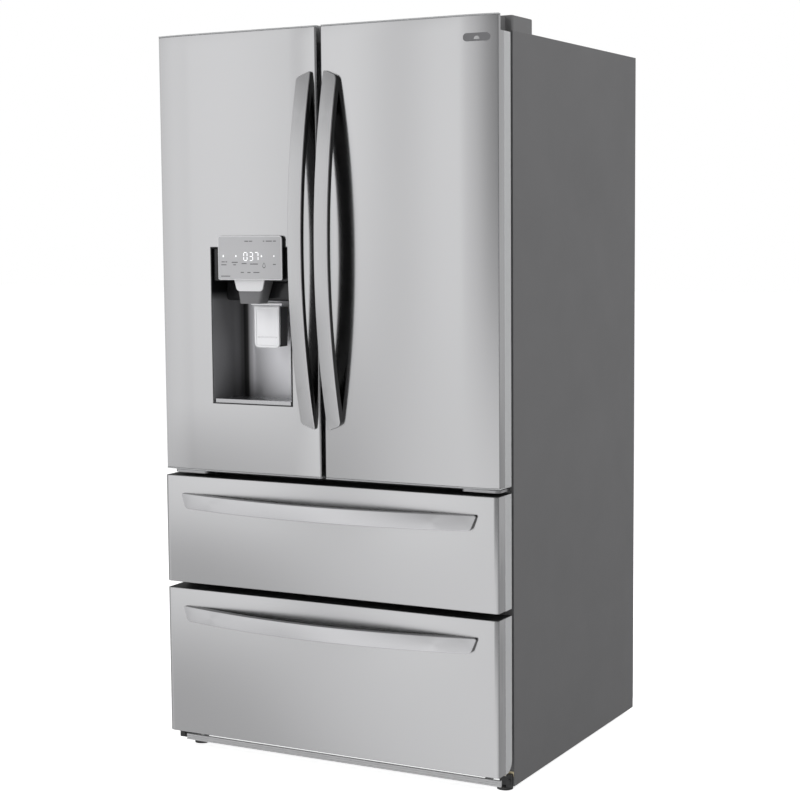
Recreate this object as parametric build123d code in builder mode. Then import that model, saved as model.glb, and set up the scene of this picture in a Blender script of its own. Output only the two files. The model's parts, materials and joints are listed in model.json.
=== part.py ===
"""French door refrigerator: two fridge doors over two freezer drawers.

Millimetres. +X is to the right of someone facing the doors, +Y is towards the
back and +Z is up. The origin is on the floor, at the middle of the footprint.
"""

import os

from build123d import *

# cabinet
case_width = 908.0
case_depth = 770.0
case_bottom = 11.0
case_top = 1737.0
sheet = 1.0
liner_wall = 2.5
side_wall = 55.0
rear_wall = 67.0
ceiling_wall = 60.0
foam_joint = 0.5
pan_level = 34.0
floor_level = 100.0
divider_span = (671.0, 741.0)
mid_rail_span = (396.0, 452.0)
machine_depth = 245.0
machine_top = 282.0
step_level = 330.0
step_wall = 62.0

# doors and drawers, from the case's front plane forwards
door_stack = 84.0
gasket_depth = 12.0
gasket_clearance = 0.4
gasket_band = 18.0
gasket_edge = 25.0
door_gap = 11.0
door_span = (714.0, 1768.0)
upper_span = (432.0, 698.0)
lower_span = (52.0, 416.0)
cap = 3.0
skin_wrap = 38.0
edge_run = 95.0
edge_fall = 9.0
drawer_edge_run = 12.0
drawer_edge_fall = 4.0
free_corner = 5.0
sill_corner = 28.0

# door hinges
hinge_inboard = 24.0
hinge_ahead = 42.0
top_pin_radius = 7.0
low_pin_radius = 6.0
pin_fit = 0.08
pin_reach = 20.0
hinge_plate = 3.5
cover_width = 100.0
cover_rear = 109.0
cover_front = 56.0
cover_height = 34.0
cover_wall = 2.0
cover_inset = 18.0
notch_margin = 14.0
notch_front = 20.0
notch_drop = 5.0
bracket_height = 6.0

# handles
handle_standoff = 60.0
handle_width = 37.0
handle_thickness = 13.0
handle_pad = 46.0
handle_pad_thickness = 7.0
handle_slant = 15.0
handle_tip = 4.0
handle_heel = 13.0
handle_edge = 1.8
handle_from_gap = 35.5
door_handle_span = (829.0, 1665.0)
drawer_handle_length = 806.0
drawer_handle_drop = 60.5

# water and ice dispenser, on the left door
niche_x = (-305.0, -84.0)
niche_z = (884.0, 1257.0)
niche_depth = 130.0
niche_wall = 3.0
niche_corner = 42.0
niche_bezel = 2.5
bezel_proud = 1.5
panel_x = (-280.0, -99.5)
panel_z = (1181.0, 1286.0)
panel_proud = 10.0
panel_corner = 7.0
chute_top = (-240.0, -157.0)
chute_bottom = (-231.0, -172.0)
chute_z = (1124.0, 1178.0)
chute_round = 8.0
chute_start = 4.0
chute_depth = (45.0, 40.0)
chute_wall = 3.0
head_depth = 86.0
head_floor = 8.0
passage_depth = 82.0
paddle_x = (-221.0, -150.0)
paddle_z = (1016.0, 1122.0)
paddle_clearance = 4.0
paddle_thickness = 6.0
paddle_pivot_radius = 4.0
tray_height = 9.0
tray_slots = 13
bulge_x = (-372.0, -72.0)
bulge_z = (866.0, 1524.0)
bulge_reach = 120.0
ice_room_z = (1292.0, 1508.0)
ice_room_depth = 60.0
ice_wall = 12.0
ice_door_thickness = 12.0

# inside the fridge
dike_height = 45.0
dike_width = 14.0
dike_from_side = 70.0
dike_from_gap = 40.0
dike_ends = 14.0
bin_wall = 2.5
bin_reach = 100.0
bin_height = 92.0
right_bin_levels = (790.0, 1010.0, 1230.0, 1450.0)
left_bin_levels = (768.0, 1540.0)
left_bin_height = 84.0
shelf_front = 155.0
shelf_rear = 22.0
shelf_thickness = 5.0
shelf_side_gap = 3.0
shelf_levels = (1240.0, 1460.0)
crisper_floor = 868.0
crisper_cover = 1034.0
crisper_wall = 3.0
slide_gap = 0.6
crisper_front = 165.0
crisper_behind = 58.0
inner_track = 190.0
track_from_wall = 15.0
mullion_width = 66.0
mullion_thickness = 16.0
mullion_behind = 2.5

# freezer drawers
rail_width = 12.0
rail_height = 40.0
rail_lip = 7.0
slide_bar = (5.0, 26.0)
basket_wall = 3.0
basket_front = 20.0
basket_side_gap = 24.0
upper_basket_span = (462.0, 648.0)
lower_basket_span = (112.0, 386.0)
upper_basket_behind = 53.0
lower_basket_behind = 18.0
duct_ahead = 70.0

# machine compartment and air ducts
compressor_x = 175.0
compressor_radius = 72.0
compressor_height = 140.0
compressor_feet = (190.0, 120.0, 3.0)
condenser_x = (-330.0, -70.0)
condenser_levels = (70.0, 110.0, 150.0, 190.0)
condenser_top = 214.0
condenser_fins = 14
fin_pitch = 18.0
fin = 2.0
pipe_radius = 4.0
coil_tube = 5.0
coil_levels = (390.0, 450.0, 510.0, 570.0)
coil_span = (365.0, 600.0)
coil_fins = 25
coil_pitch = 22.0
coil_length = 560.0
duct_panel_wall = 3.0
tower_half = 85.0
tower_depth = 16.0
outlet = (56.0, 9.0)
fan_slot = (34.0, 9.0)
louvre = (104.0, 8.0)
louvre_pitch = (130.0, 22.0)
louvre_x = 180.0
louvre_z = 160.0
gland_place = (90.0, 42.0)
gland_radius = 13.0
gland_bore = 6.0
gland_length = 9.0

# hinge hardware
hinge_plate_reach = 46.0
screw_radius = 7.0
screw_head = 4.0
middle_reach = (84.0, 15.0)
middle_flange = 3.0
mid_rail_depth = 26.0

# inside fittings
track_width = 9.0
arm = (5.0, 8.0, 34.0)
ledge = (9.0, 6.0)
lamp_size = (190.0, 90.0, 8.0)
lamp_ahead = 120.0
lamp_corner = 12.0
grip = (70.0, 12.0, 5.0)
grip_drop = 11.0
drawer_wall_front = 9.0
basket_slot = (66.0, 14.0)
slide_shelf = 5.0

# feet
leg_radius = 6.0
leg_pad_radius = 19.0
leg_pad_height = 8.0
leg_from_side = 29.0
leg_behind = 12.0
bracket_level = 12.0
bracket_width = 38.0
bracket_behind = 32.0
left_nose = ((28.0, 3.0), 48.0, (26.0, 45.0))
right_nose = ((16.0, 3.0), 10.0, (10.0, 41.0))
roller_radius = 15.0
roller_width = 20.0
roller_axle = 4.0
roller_from_side = 74.0
roller_from_back = 55.0
roller_cheek = 3.0
grille_span = (24.0, 39.0)
grille_from_sides = (30.0, 8.0)
grille_ahead = 52.0
grille_thickness = 6.0
grille_arm_lap = 5.5
grille_arm_width = 16.0

# planes and widths that follow
case_front = (door_stack + handle_standoff - case_depth) / 2
case_back = case_front + case_depth
half_case = case_width / 2
door_face = case_front - door_stack
door_back = case_front - gasket_depth
cavity_half = half_case - side_wall
liner_half = cavity_half + liner_wall
cavity_back = case_back - rear_wall
liner_back = cavity_back + liner_wall
ceiling = case_top - ceiling_wall
riser = case_back - machine_depth - step_wall
hinge_x = half_case - hinge_inboard
hinge_y = case_front - hinge_ahead
notch_level = case_top - notch_drop
cover_half = half_case - cover_width
hinge_plate_edge = half_case - cover_inset - cover_wall - 0.5
dike_back = case_front + dike_height
chute_face = door_face + chute_start
ice_room_face = door_face + ice_room_depth
leg_x = half_case - leg_from_side
leg_y = case_front + leg_behind
roller_x = half_case - roller_from_side
roller_y = case_back - roller_from_back
grille_x = (grille_from_sides[0] - half_case, half_case - grille_from_sides[1])
grille_arm = (liner_half - grille_arm_lap, liner_half - grille_arm_lap + grille_arm_width)
duct_face = cavity_back - duct_ahead
track_x = (inner_track, cavity_half - track_from_wall)
crisper_rear = cavity_back - crisper_behind
upper_basket_rear = duct_face - upper_basket_behind
lower_basket_rear = riser - lower_basket_behind


def slab(x, y, z, mode=Mode.ADD):
    """A block between three (low, high) pairs of planes."""
    with Locations(((x[0] + x[1]) / 2, (y[0] + y[1]) / 2, (z[0] + z[1]) / 2)):
        Box(abs(x[1] - x[0]), abs(y[1] - y[0]), abs(z[1] - z[0]), mode=mode)


def on_side(side, near, far):
    """The (low, high) pair of X planes between two distances from the middle."""
    return tuple(sorted((side * near, side * far)))


def grown(pair, amount):
    """A (low, high) pair moved outwards at both ends."""
    return (pair[0] - amount, pair[1] + amount)


def tray(x, y, z, wall, mode=Mode.ADD):
    """An open-topped box, with its walls inside the given planes."""
    slab(x, y, z, mode=mode)
    slab(grown(x, -wall), grown(y, -wall), (z[0] + wall, z[1] + 1), mode=Mode.SUBTRACT)


def finish(builder, name):
    """Name a piece and write it."""
    builder.part.label = name
    export_step(builder.part, f"parts/{name}.step")


# ---------------------------------------------------------------- cabinet


def outer_case():
    """Painted wrapper: two sides and a top in one sheet, turned in round the front."""
    with BuildPart() as case:
        slab((-half_case, half_case), (case_front, case_back - sheet), (case_bottom, case_top))
        slab(
            (sheet - half_case, half_case - sheet),
            (case_front + sheet, case_back),
            (case_bottom - 1, case_top - sheet),
            mode=Mode.SUBTRACT,
        )
        slab(
            (-liner_half, liner_half),
            (case_front - 1, case_front + 2 * sheet),
            (case_bottom - 1, ceiling + liner_wall),
            mode=Mode.SUBTRACT,
        )
        slab(
            (sheet - half_case, half_case - sheet),
            (case_front - 1, case_front + 2 * sheet),
            (case_bottom - 1, left_nose[2][1] + 1),
            mode=Mode.SUBTRACT,
        )
    finish(case, "outer_case")


def back_panel():
    """Flat galvanised back, down to the machine compartment."""
    with BuildPart() as panel:
        slab((-half_case, half_case), (case_back - sheet, case_back), (machine_top, case_top))
    finish(panel, "back_panel")


def base_pan():
    """Floor of the cabinet, with flanges down inside the case's sides."""
    half = half_case - sheet
    with BuildPart() as pan:
        slab((-half, half), (case_front + sheet, case_back - sheet), (pan_level - 2, pan_level))
        for side in (-1, 1):
            slab(
                on_side(side, half - 2, half),
                (case_front + sheet, case_back - sheet),
                (case_bottom, pan_level),
            )
    finish(pan, "base_pan")


def insulation():
    """Foam in plain slabs: two sides, top, divider, floor, riser, step and rear."""
    front = case_front + sheet
    back = case_back - sheet
    inner = (foam_joint - liner_half, liner_half - foam_joint)
    divider = grown(divider_span, -liner_wall)
    slabs = [
        (inner, (front, back), (ceiling + liner_wall, case_top - sheet)),
        (inner, (front, liner_back - foam_joint), divider),
        (inner, (front, riser + liner_wall - foam_joint), (pan_level, floor_level - liner_wall)),
        (inner, (riser + liner_wall, back - machine_depth + sheet), (pan_level, step_level - liner_wall)),
        (
            inner,
            (back - machine_depth + sheet + foam_joint, back),
            (machine_top, step_level - liner_wall - foam_joint),
        ),
        (inner, (liner_back, back), (step_level - liner_wall, ceiling + liner_wall - foam_joint)),
    ]
    for side in (-1, 1):
        wall = on_side(side, liner_half, half_case - sheet)
        slabs.append((wall, (front, back), (pan_level, case_top - sheet)))
    with BuildPart() as foam:
        for x, y, z in slabs:
            slab(x, y, z)
    finish(foam, "insulation")


def fridge_liner():
    """Moulded liner of the fridge, open to the front."""
    span = (divider_span[1], ceiling)
    with BuildPart() as liner:
        slab((-liner_half, liner_half), (case_front, liner_back), grown(span, liner_wall))
        slab((-cavity_half, cavity_half), (case_front - 1, cavity_back), span, mode=Mode.SUBTRACT)
    finish(liner, "fridge_liner")


def freezer_liner():
    """Moulded liner of the freezer, stepped over the machine compartment."""
    with BuildPart() as liner:
        with BuildSketch(Plane.YZ.offset(-liner_half)):
            with BuildLine():
                Polyline(
                    (case_front, floor_level - liner_wall),
                    (riser + liner_wall, floor_level - liner_wall),
                    (riser + liner_wall, step_level - liner_wall),
                    (liner_back, step_level - liner_wall),
                    (liner_back, divider_span[0] + liner_wall),
                    (case_front, divider_span[0] + liner_wall),
                    close=True,
                )
            make_face()
        extrude(amount=2 * liner_half)
        with BuildSketch(Plane.YZ.offset(-cavity_half)):
            with BuildLine():
                Polyline(
                    (case_front - 1, floor_level),
                    (riser, floor_level),
                    (riser, step_level),
                    (cavity_back, step_level),
                    (cavity_back, divider_span[0]),
                    (case_front - 1, divider_span[0]),
                    close=True,
                )
            make_face()
        extrude(amount=2 * cavity_half, mode=Mode.SUBTRACT)
    finish(liner, "freezer_liner")


def front_rails():
    """Steel rails across the front: divider face, bar between the drawers, sill."""
    face = (case_front, case_front + sheet)
    with BuildPart() as rails:
        slab((-liner_half, liner_half), face, grown(divider_span, -liner_wall))
        slab((-cavity_half, cavity_half), (case_front, case_front + mid_rail_depth), mid_rail_span)
        slab((-liner_half, liner_half), face, (pan_level, floor_level - liner_wall))
    finish(rails, "front_rails")


def hinge_covers():
    """Plastic covers over the top hinges, inset where they reach over the doors."""
    top = case_top + cover_height
    with BuildPart() as covers:
        for side in (-1, 1):
            rear = on_side(side, cover_half, half_case)
            slab(rear, (case_front, case_front + cover_rear), (case_top, top))
        fillet(covers.edges().filter_by(Axis.Z), 5)
        fillet(covers.faces().filter_by(Plane.XY).group_by(Axis.Z)[-1].edges(), 3)
        for side in (-1, 1):
            slab(
                on_side(side, cover_half + cover_wall, half_case - cover_inset),
                (case_front - cover_front, case_front + 2 * cover_wall),
                (case_top, top - 2 * cover_wall),
            )
        fillet(covers.edges().filter_by(Axis.Z).group_by(Axis.Y)[0], 10)
        for side in (-1, 1):
            slab(
                on_side(side, cover_half + 2 * cover_wall, half_case - cover_inset - cover_wall),
                (case_front - cover_front + cover_wall, case_front + cover_rear - cover_wall),
                (case_top - 1, top - 4 * cover_wall),
                mode=Mode.SUBTRACT,
            )
    finish(covers, "hinge_covers")


def top_hinges():
    """Steel plates on the case, each with a pin down into its door."""
    with BuildPart() as hinges:
        for side in (-1, 1):
            slab(
                on_side(side, hinge_x - hinge_plate_reach, hinge_plate_edge),
                (hinge_y - 10, case_front + cover_rear - 12),
                (case_top, case_top + hinge_plate),
            )
        fillet(hinges.edges().filter_by(Axis.Z), 6)
        with Locations(*[(side * hinge_x, hinge_y, case_top) for side in (-1, 1)]):
            Cylinder(top_pin_radius, notch_drop + pin_reach, align=(Align.CENTER, Align.CENTER, Align.MAX))
        screws = [
            (side * (hinge_x - across), case_front + behind, case_top + hinge_plate)
            for side in (-1, 1)
            for across in (8, 34)
            for behind in (30, 78)
        ]
        with Locations(*screws):
            Cylinder(screw_radius, screw_head, align=(Align.CENTER, Align.CENTER, Align.MIN))
    finish(hinges, "top_hinges")


def middle_hinges():
    """Brackets in the gap under the doors, each with a pin up into its door."""
    low = (upper_span[1] + door_span[0] - bracket_height) / 2
    with BuildPart() as brackets:
        for side in (-1, 1):
            slab(
                on_side(side, hinge_x - middle_reach[0], hinge_x + middle_reach[1]),
                (hinge_y - middle_reach[1], case_front),
                (low, low + bracket_height),
            )
        fillet(brackets.edges().filter_by(Axis.Z).group_by(Axis.Y)[0], 12)
        for side in (-1, 1):
            slab(
                on_side(side, hinge_x - middle_reach[0], hinge_x + middle_reach[1]),
                (case_front - middle_flange, case_front),
                (upper_span[1] + 1, door_span[0] - 1),
            )
        with Locations(*[(side * hinge_x, hinge_y, low + bracket_height) for side in (-1, 1)]):
            Cylinder(
                low_pin_radius,
                door_span[0] - low - bracket_height + pin_reach,
                align=(Align.CENTER, Align.CENTER, Align.MIN),
            )
    finish(brackets, "middle_hinges")


def duct_panel():
    """Cover over the evaporator and, above, the air tower with its outlets."""
    fan_level = (step_level + divider_span[0]) / 2 + 60
    tower_span = grown((crisper_cover, ceiling), -30)
    with BuildPart() as duct:
        slab(
            grown((-cavity_half, cavity_half), -2),
            (duct_face, duct_face + duct_panel_wall),
            grown((step_level, divider_span[0]), -2),
        )
        with BuildSketch(Plane.XZ.offset(-duct_face)):
            with Locations((0, fan_level)):
                with PolarLocations(42, 10):
                    SlotOverall(*fan_slot)
        extrude(amount=-2 * duct_panel_wall, both=True, mode=Mode.SUBTRACT)
        slab((-tower_half, tower_half), (cavity_back - tower_depth, cavity_back), tower_span)
        with BuildSketch(Plane.XZ.offset(tower_depth - cavity_back)):
            with Locations((0, (crisper_cover + ceiling) / 2)):
                with GridLocations(tower_half, 150, 2, 4):
                    SlotOverall(*outlet)
        extrude(amount=-tower_depth / 2, mode=Mode.SUBTRACT)
    finish(duct, "duct_panel")


def evaporator():
    """Fin pack with its tubes, behind the freezer's cover."""
    y = (duct_face + 14, cavity_back - 10)
    middle = (y[0] + y[1]) / 2
    with BuildPart() as coil:
        with Locations(*[(0, middle, level) for level in coil_levels]):
            Cylinder(coil_tube, coil_length, rotation=(0, 90, 0))
        with Locations((0, middle, (coil_span[0] + coil_span[1]) / 2)):
            with GridLocations(coil_pitch, 0, coil_fins, 1):
                Box(fin, y[1] - y[0], coil_span[1] - coil_span[0])
    finish(coil, "evaporator")


def cooling_unit():
    """Hermetic compressor on its plate, with the fin and tube condenser beside it."""
    centre = (compressor_x, case_back - machine_depth / 2)
    y = (case_back - machine_depth + 24, case_back - 70)
    middle = (y[0] + y[1]) / 2
    standing = (Align.CENTER, Align.CENTER, Align.MIN)
    condenser_middle = (condenser_x[0] + condenser_x[1]) / 2
    with BuildPart() as unit:
        with Locations((*centre, pan_level + 12)):
            Cylinder(compressor_radius, compressor_height, align=standing)
        fillet(unit.faces().sort_by(Axis.Z)[-1].edges(), 34)
        fillet(unit.faces().sort_by(Axis.Z)[0].edges(), 10)
        with Locations((*centre, pan_level)):
            Box(*compressor_feet, align=standing)
            Cylinder(compressor_radius / 2, 14, align=standing)
        with Locations((centre[0] + compressor_radius + 12, centre[1], pan_level)):
            Cylinder(pipe_radius, 90, align=standing)
        with Locations(*[(condenser_middle, middle, level) for level in condenser_levels]):
            Box(condenser_x[1] - condenser_x[0], 2 * coil_tube, 2 * coil_tube)
        with Locations((condenser_middle, middle, pan_level)):
            with GridLocations(fin_pitch, 0, condenser_fins, 1):
                Box(fin, y[1] - y[0], condenser_top - pan_level, align=standing)
    finish(unit, "cooling_unit")


def machine_cover():
    """Louvred cover over the machine compartment, with the inlet for the supply cord."""
    with BuildPart() as cover:
        slab((-half_case, half_case), (case_back - sheet, case_back), grown((pan_level, machine_top), -1))
        with BuildSketch(Plane.XZ.offset(-case_back)):
            with Locations((-louvre_x, louvre_z), (louvre_x, louvre_z)):
                with GridLocations(*louvre_pitch, 2, 7):
                    SlotOverall(*louvre)
        extrude(amount=4 * sheet, both=True, mode=Mode.SUBTRACT)
    with BuildPart() as gland:
        with BuildSketch(Plane.XZ.offset(sheet - case_back)):
            with Locations((half_case - gland_place[0], machine_top - gland_place[1])):
                Circle(gland_radius)
                Circle(gland_bore, mode=Mode.SUBTRACT)
        extrude(amount=gland_length)
    finish(cover, "machine_cover")
    finish(gland, "cord_gland")


def base_grille():
    """Kick strip in front of the foot brackets, grooved along it, on two arms."""
    y = (case_front - grille_ahead - grille_thickness, case_front - grille_ahead)
    with BuildPart() as grille:
        slab(grille_x, y, grille_span)
        fillet(grille.edges().filter_by(Axis.X).group_by(Axis.Y)[0], 1.5)
        for level in (grille_span[0] + 5, grille_span[1] - 5):
            slab(grown(grille_x, 1), (y[0] - 1, y[0] + 1), (level - 0.6, level + 0.6), mode=Mode.SUBTRACT)
        for side in (-1, 1):
            slab(on_side(side, *grille_arm), (y[1], case_front), (pan_level - 4, pan_level))
    finish(grille, "base_grille")


def foot_brackets():
    """Front blocks that carry the levelling legs, rear forks that carry the rollers."""
    pan_bottom = pan_level - 2
    with BuildPart() as brackets:
        for side, nose in ((-1, left_nose), (1, right_nose)):
            from_side, ahead, z = nose
            x = (half_case - from_side[0], half_case - from_side[1])
            slab(
                on_side(side, half_case - bracket_width, x[1]),
                (case_front, case_front + bracket_behind),
                (bracket_level, pan_bottom),
            )
            slab(on_side(side, *x), (case_front - ahead, case_front), z)
            with Locations((side * leg_x, leg_y, bracket_level)):
                Cylinder(
                    leg_radius + pin_fit,
                    pan_bottom - bracket_level,
                    align=(Align.CENTER, Align.CENTER, Align.MIN),
                    mode=Mode.SUBTRACT,
                )
            with Locations((side * (x[0] + x[1]) / 2, case_front - ahead, (z[0] + z[1]) / 2)):
                Cylinder(5, 4, rotation=(90, 0, 0), align=(Align.CENTER, Align.CENTER, Align.MIN))
            for cheek in (-1, 1):
                near = roller_x + cheek * (roller_width / 2 + 0.5)
                slab(
                    on_side(side, near, near + cheek * roller_cheek),
                    (roller_y - 11, roller_y + 11),
                    (roller_radius - 8, pan_bottom),
                )
            with Locations((side * roller_x, roller_y, roller_radius)):
                Cylinder(roller_axle, roller_width + 2 * roller_cheek, rotation=(0, 90, 0))
    finish(brackets, "foot_brackets")


def glass_shelves():
    """Two tiers of half shelves, the crisper cover and the crisper floor."""
    y = (case_front + shelf_front, cavity_back - shelf_rear)
    outer = cavity_half - shelf_side_gap
    with BuildPart() as shelves:
        for level in shelf_levels:
            for side in (-1, 1):
                slab(on_side(side, 3, outer), y, (level, level + shelf_thickness))
        for level in (crisper_floor, crisper_cover):
            slab((-outer, outer), y, (level - shelf_thickness, level))
    finish(shelves, "glass_shelves")


def shelf_brackets():
    """Wall tracks, cantilever arms under the half shelves, ledges for the lower glass."""
    tip = case_front + shelf_front + 12
    root = cavity_back - track_width
    thick, tip_height, root_height = arm
    with BuildPart() as frame:
        for side in (-1, 1):
            for place in track_x:
                x = on_side(side, place, place + track_width)
                slab(x, (root, cavity_back), (crisper_cover + 20, ceiling - 60))
                for level in shelf_levels:
                    with BuildSketch(Plane.YZ.offset((x[0] + x[1] - thick) / 2)):
                        with BuildLine():
                            Polyline(
                                (root, level),
                                (tip, level),
                                (tip, level - tip_height),
                                (root, level - root_height),
                                close=True,
                            )
                        make_face()
                    extrude(amount=thick)
            for level in (crisper_floor, crisper_cover):
                slab(
                    on_side(side, cavity_half - ledge[0], cavity_half),
                    (case_front + shelf_front + 10, cavity_back - shelf_rear),
                    (level - shelf_thickness - ledge[1], level - shelf_thickness),
                )
    finish(frame, "shelf_brackets")


def light_panel():
    """Light in the fridge's ceiling."""
    half, depth, thick = lamp_size
    near = case_front + lamp_ahead
    with BuildPart() as light:
        slab((-half, half), (near, near + depth), (ceiling - thick, ceiling))
        fillet(light.edges().filter_by(Axis.Z), lamp_corner)
    finish(light, "light_panel")


def drawer_rails():
    """Fixed channels on the freezer's walls, one each side of each drawer."""
    runs = (
        (upper_basket_span, upper_basket_rear),
        (lower_basket_span, lower_basket_rear),
    )
    with BuildPart() as rails:
        for basket, rear in runs:
            middle = (basket[0] + basket[1]) / 2
            z = (middle - rail_height / 2, middle + rail_height / 2)
            y = (case_front + 30, rear)
            for side in (-1, 1):
                slab(on_side(side, cavity_half - rail_width, cavity_half), y, z)
                slab(
                    on_side(side, cavity_half - rail_width - 1, cavity_half - 3),
                    (y[0] - 1, y[1] + 1),
                    grown(z, -rail_lip + 3),
                    mode=Mode.SUBTRACT,
                )
    finish(rails, "drawer_rails")


# ---------------------------------------------------------------- legs and rollers


def leg(side, name):
    """Levelling leg: a pad on the floor and its screw, up into the bracket."""
    with BuildPart() as foot:
        with Locations((side * leg_x, leg_y, 0)):
            Cylinder(leg_pad_radius, leg_pad_height, align=(Align.CENTER, Align.CENTER, Align.MIN))
        chamfer(foot.edges().group_by(Axis.Z)[-1], 2)
        with BuildSketch(Plane.XY.offset(leg_pad_height)):
            with Locations((side * leg_x, leg_y)):
                RegularPolygon(9.5, 6)
        extrude(amount=bracket_level - leg_pad_height - 1)
        with Locations((side * leg_x, leg_y, leg_pad_height)):
            Cylinder(
                leg_radius,
                pan_level - 3 - leg_pad_height,
                align=(Align.CENTER, Align.CENTER, Align.MIN),
            )
    finish(foot, name)


def roller(side, name):
    """Rear roller on its axle."""
    with BuildPart() as wheel:
        with Locations((side * roller_x, roller_y, roller_radius)):
            Cylinder(roller_radius, roller_width, rotation=(0, 90, 0))
            Cylinder(roller_axle + pin_fit, roller_width, rotation=(0, 90, 0), mode=Mode.SUBTRACT)
        chamfer(wheel.edges().filter_by(GeomType.CIRCLE).sort_by(SortBy.RADIUS)[-2:], 1)
    finish(wheel, name)


# ---------------------------------------------------------------- fridge drawers


def open_drawer(x, z, name):
    """Clear drawer with a thick front and a finger lip along its top."""
    y = (case_front + crisper_front, crisper_rear)
    middle = (x[0] + x[1]) / 2
    half_grip, grip_reach, grip_thickness = grip
    grip_top = z[1] - grip_drop
    with BuildPart() as drawer:
        tray(x, y, z, crisper_wall)
        slab(x, (y[0], y[0] + drawer_wall_front), z)
        fillet(drawer.edges().filter_by(Axis.Z).group_by(Axis.Y)[0], 4)
        slab(
            (middle - half_grip, middle + half_grip),
            (y[0] - grip_reach, y[0] + 1),
            (grip_top - grip_thickness, grip_top),
        )
        fillet(drawer.edges().filter_by(Axis.Z).group_by(Axis.Y)[0], 5)
    finish(drawer, name)


# ---------------------------------------------------------------- doors and drawer fronts


def front_block(edges, falls, depths, span, mode=Mode.ADD):
    """Upright block with the plan of a door or drawer front.

    The face is flat in the middle. At each end it falls back along an arc, or
    turns a small corner where the fall is None.
    """
    near, far = depths
    left, right = falls
    with BuildSketch(Plane.XY.offset(span[0])) as plan:
        with BuildLine():
            start = (edges[0] + (left[0] if left else free_corner), near)
            stop = (edges[1] - (right[0] if right else free_corner), near)
            flat = Line(start, stop)
            corner_right = (edges[1], near + (right[1] if right else free_corner))
            corner_left = (edges[0], near + (left[1] if left else free_corner))
            TangentArc(stop, corner_right, tangent=flat % 1)
            TangentArc(start, corner_left, tangent=(flat % 0) * -1)
            Polyline(corner_right, (edges[1], far), (edges[0], far), corner_left)
        make_face()
    extrude(plan.sketch, amount=span[1] - span[0], mode=mode)


def front_skin(edges, falls, span):
    """Steel sheet bent round a front's two sides."""
    front_block(edges, falls, (door_face, door_face + skin_wrap), span)
    front_block(
        grown(edges, -sheet),
        falls,
        (door_face + sheet, door_face + skin_wrap + 1),
        span,
        mode=Mode.SUBTRACT,
    )


def front_core(edges, falls, span):
    """Foam-filled body of a front: inside the skin, then full width behind it."""
    front_block(grown(edges, -sheet), falls, (door_face + sheet, door_face + skin_wrap), span)
    slab(edges, (door_face + skin_wrap, door_back), span)


def gasket(x, z, name):
    """Magnetic seal: one closed band, just clear of the case's front."""
    y = (door_back, case_front - gasket_clearance)
    with BuildPart() as seal:
        slab(x, y, z)
        slab(grown(x, -gasket_band), (y[0] - 1, y[1] + 1), grown(z, -gasket_band), mode=Mode.SUBTRACT)
    finish(seal, name)


def bow_handle(centre, along, length, long_side, name):
    """Flat bar bowed out from the front, its ends lying on it and both slanted in."""
    outward = Vector(0, -1, 0)
    along = Vector(*along)
    half = length / 2
    inner_end = half - handle_pad
    with BuildPart() as bar:
        side_view = Plane(origin=centre, x_dir=along, z_dir=along.cross(outward))
        with BuildSketch(side_view):
            with BuildLine():
                Line((-half, 0), (-half, handle_pad_thickness))
                ThreePointArc(
                    (-half, handle_pad_thickness),
                    (0, handle_standoff),
                    (half, handle_pad_thickness),
                )
                Line((half, handle_pad_thickness), (half, 0))
                Line((half, 0), (inner_end, 0))
                ThreePointArc((inner_end, 0), (0, handle_standoff - handle_thickness), (-inner_end, 0))
                Line((-inner_end, 0), (-half, 0))
            make_face()
        extrude(amount=handle_width / 2, both=True)
        front_view = Plane(origin=centre, x_dir=along, z_dir=outward)
        across = long_side * handle_width / 2
        with BuildSketch(front_view):
            with BuildLine():
                FilletPolyline(
                    (-half, across),
                    (half, across),
                    (half - handle_slant, -across),
                    (-half + handle_slant, -across),
                    radius=[handle_tip, handle_tip, handle_heel, handle_heel],
                    close=True,
                )
            make_face()
        extrude(amount=handle_standoff + 1, mode=Mode.INTERSECT)
        front_edges = bar.faces().sort_by(Axis.Y)[0].edges()
        fillet(front_edges, handle_edge)
    finish(bar, name)


def hinge_notch(side):
    """Cut in a door's top, behind its face, that clears the hinge and its cover."""
    slab(
        on_side(side, cover_half - notch_margin, half_case + 1),
        (door_face + notch_front, door_back + dike_height + 1),
        (notch_level, door_span[1] + 1),
        mode=Mode.SUBTRACT,
    )


def pin_bores(side):
    """Bores for the top and bottom hinge pins."""
    with Locations((side * hinge_x, hinge_y, notch_level + 1)):
        Cylinder(
            top_pin_radius + pin_fit,
            pin_reach + 3,
            align=(Align.CENTER, Align.CENTER, Align.MAX),
            mode=Mode.SUBTRACT,
        )
    with Locations((side * hinge_x, hinge_y, door_span[0] - 1)):
        Cylinder(
            low_pin_radius + pin_fit,
            pin_reach + 3,
            align=(Align.CENTER, Align.CENTER, Align.MIN),
            mode=Mode.SUBTRACT,
        )


def niche_cut():
    """Opening for the dispenser's housing."""
    slab(
        grown(niche_x, niche_wall),
        (door_face - 1, door_face + niche_depth + niche_wall),
        grown(niche_z, niche_wall),
        mode=Mode.SUBTRACT,
    )


def door_edges(side):
    """X planes of a door, the fall at each of its ends, and its span between the caps."""
    edges = on_side(side, door_gap / 2, half_case)
    hinge_fall = (edge_run, edge_fall)
    falls = (None, hinge_fall) if side > 0 else (hinge_fall, None)
    return edges, falls, grown(door_span, -cap)


def door_skin(side, hand):
    """Brushed outer sheet of a door."""
    edges, falls, span = door_edges(side)
    with BuildPart() as skin:
        front_skin(edges, falls, span)
        hinge_notch(side)
        if side < 0:
            niche_cut()
    finish(skin, f"{hand}_door_skin")


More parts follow.
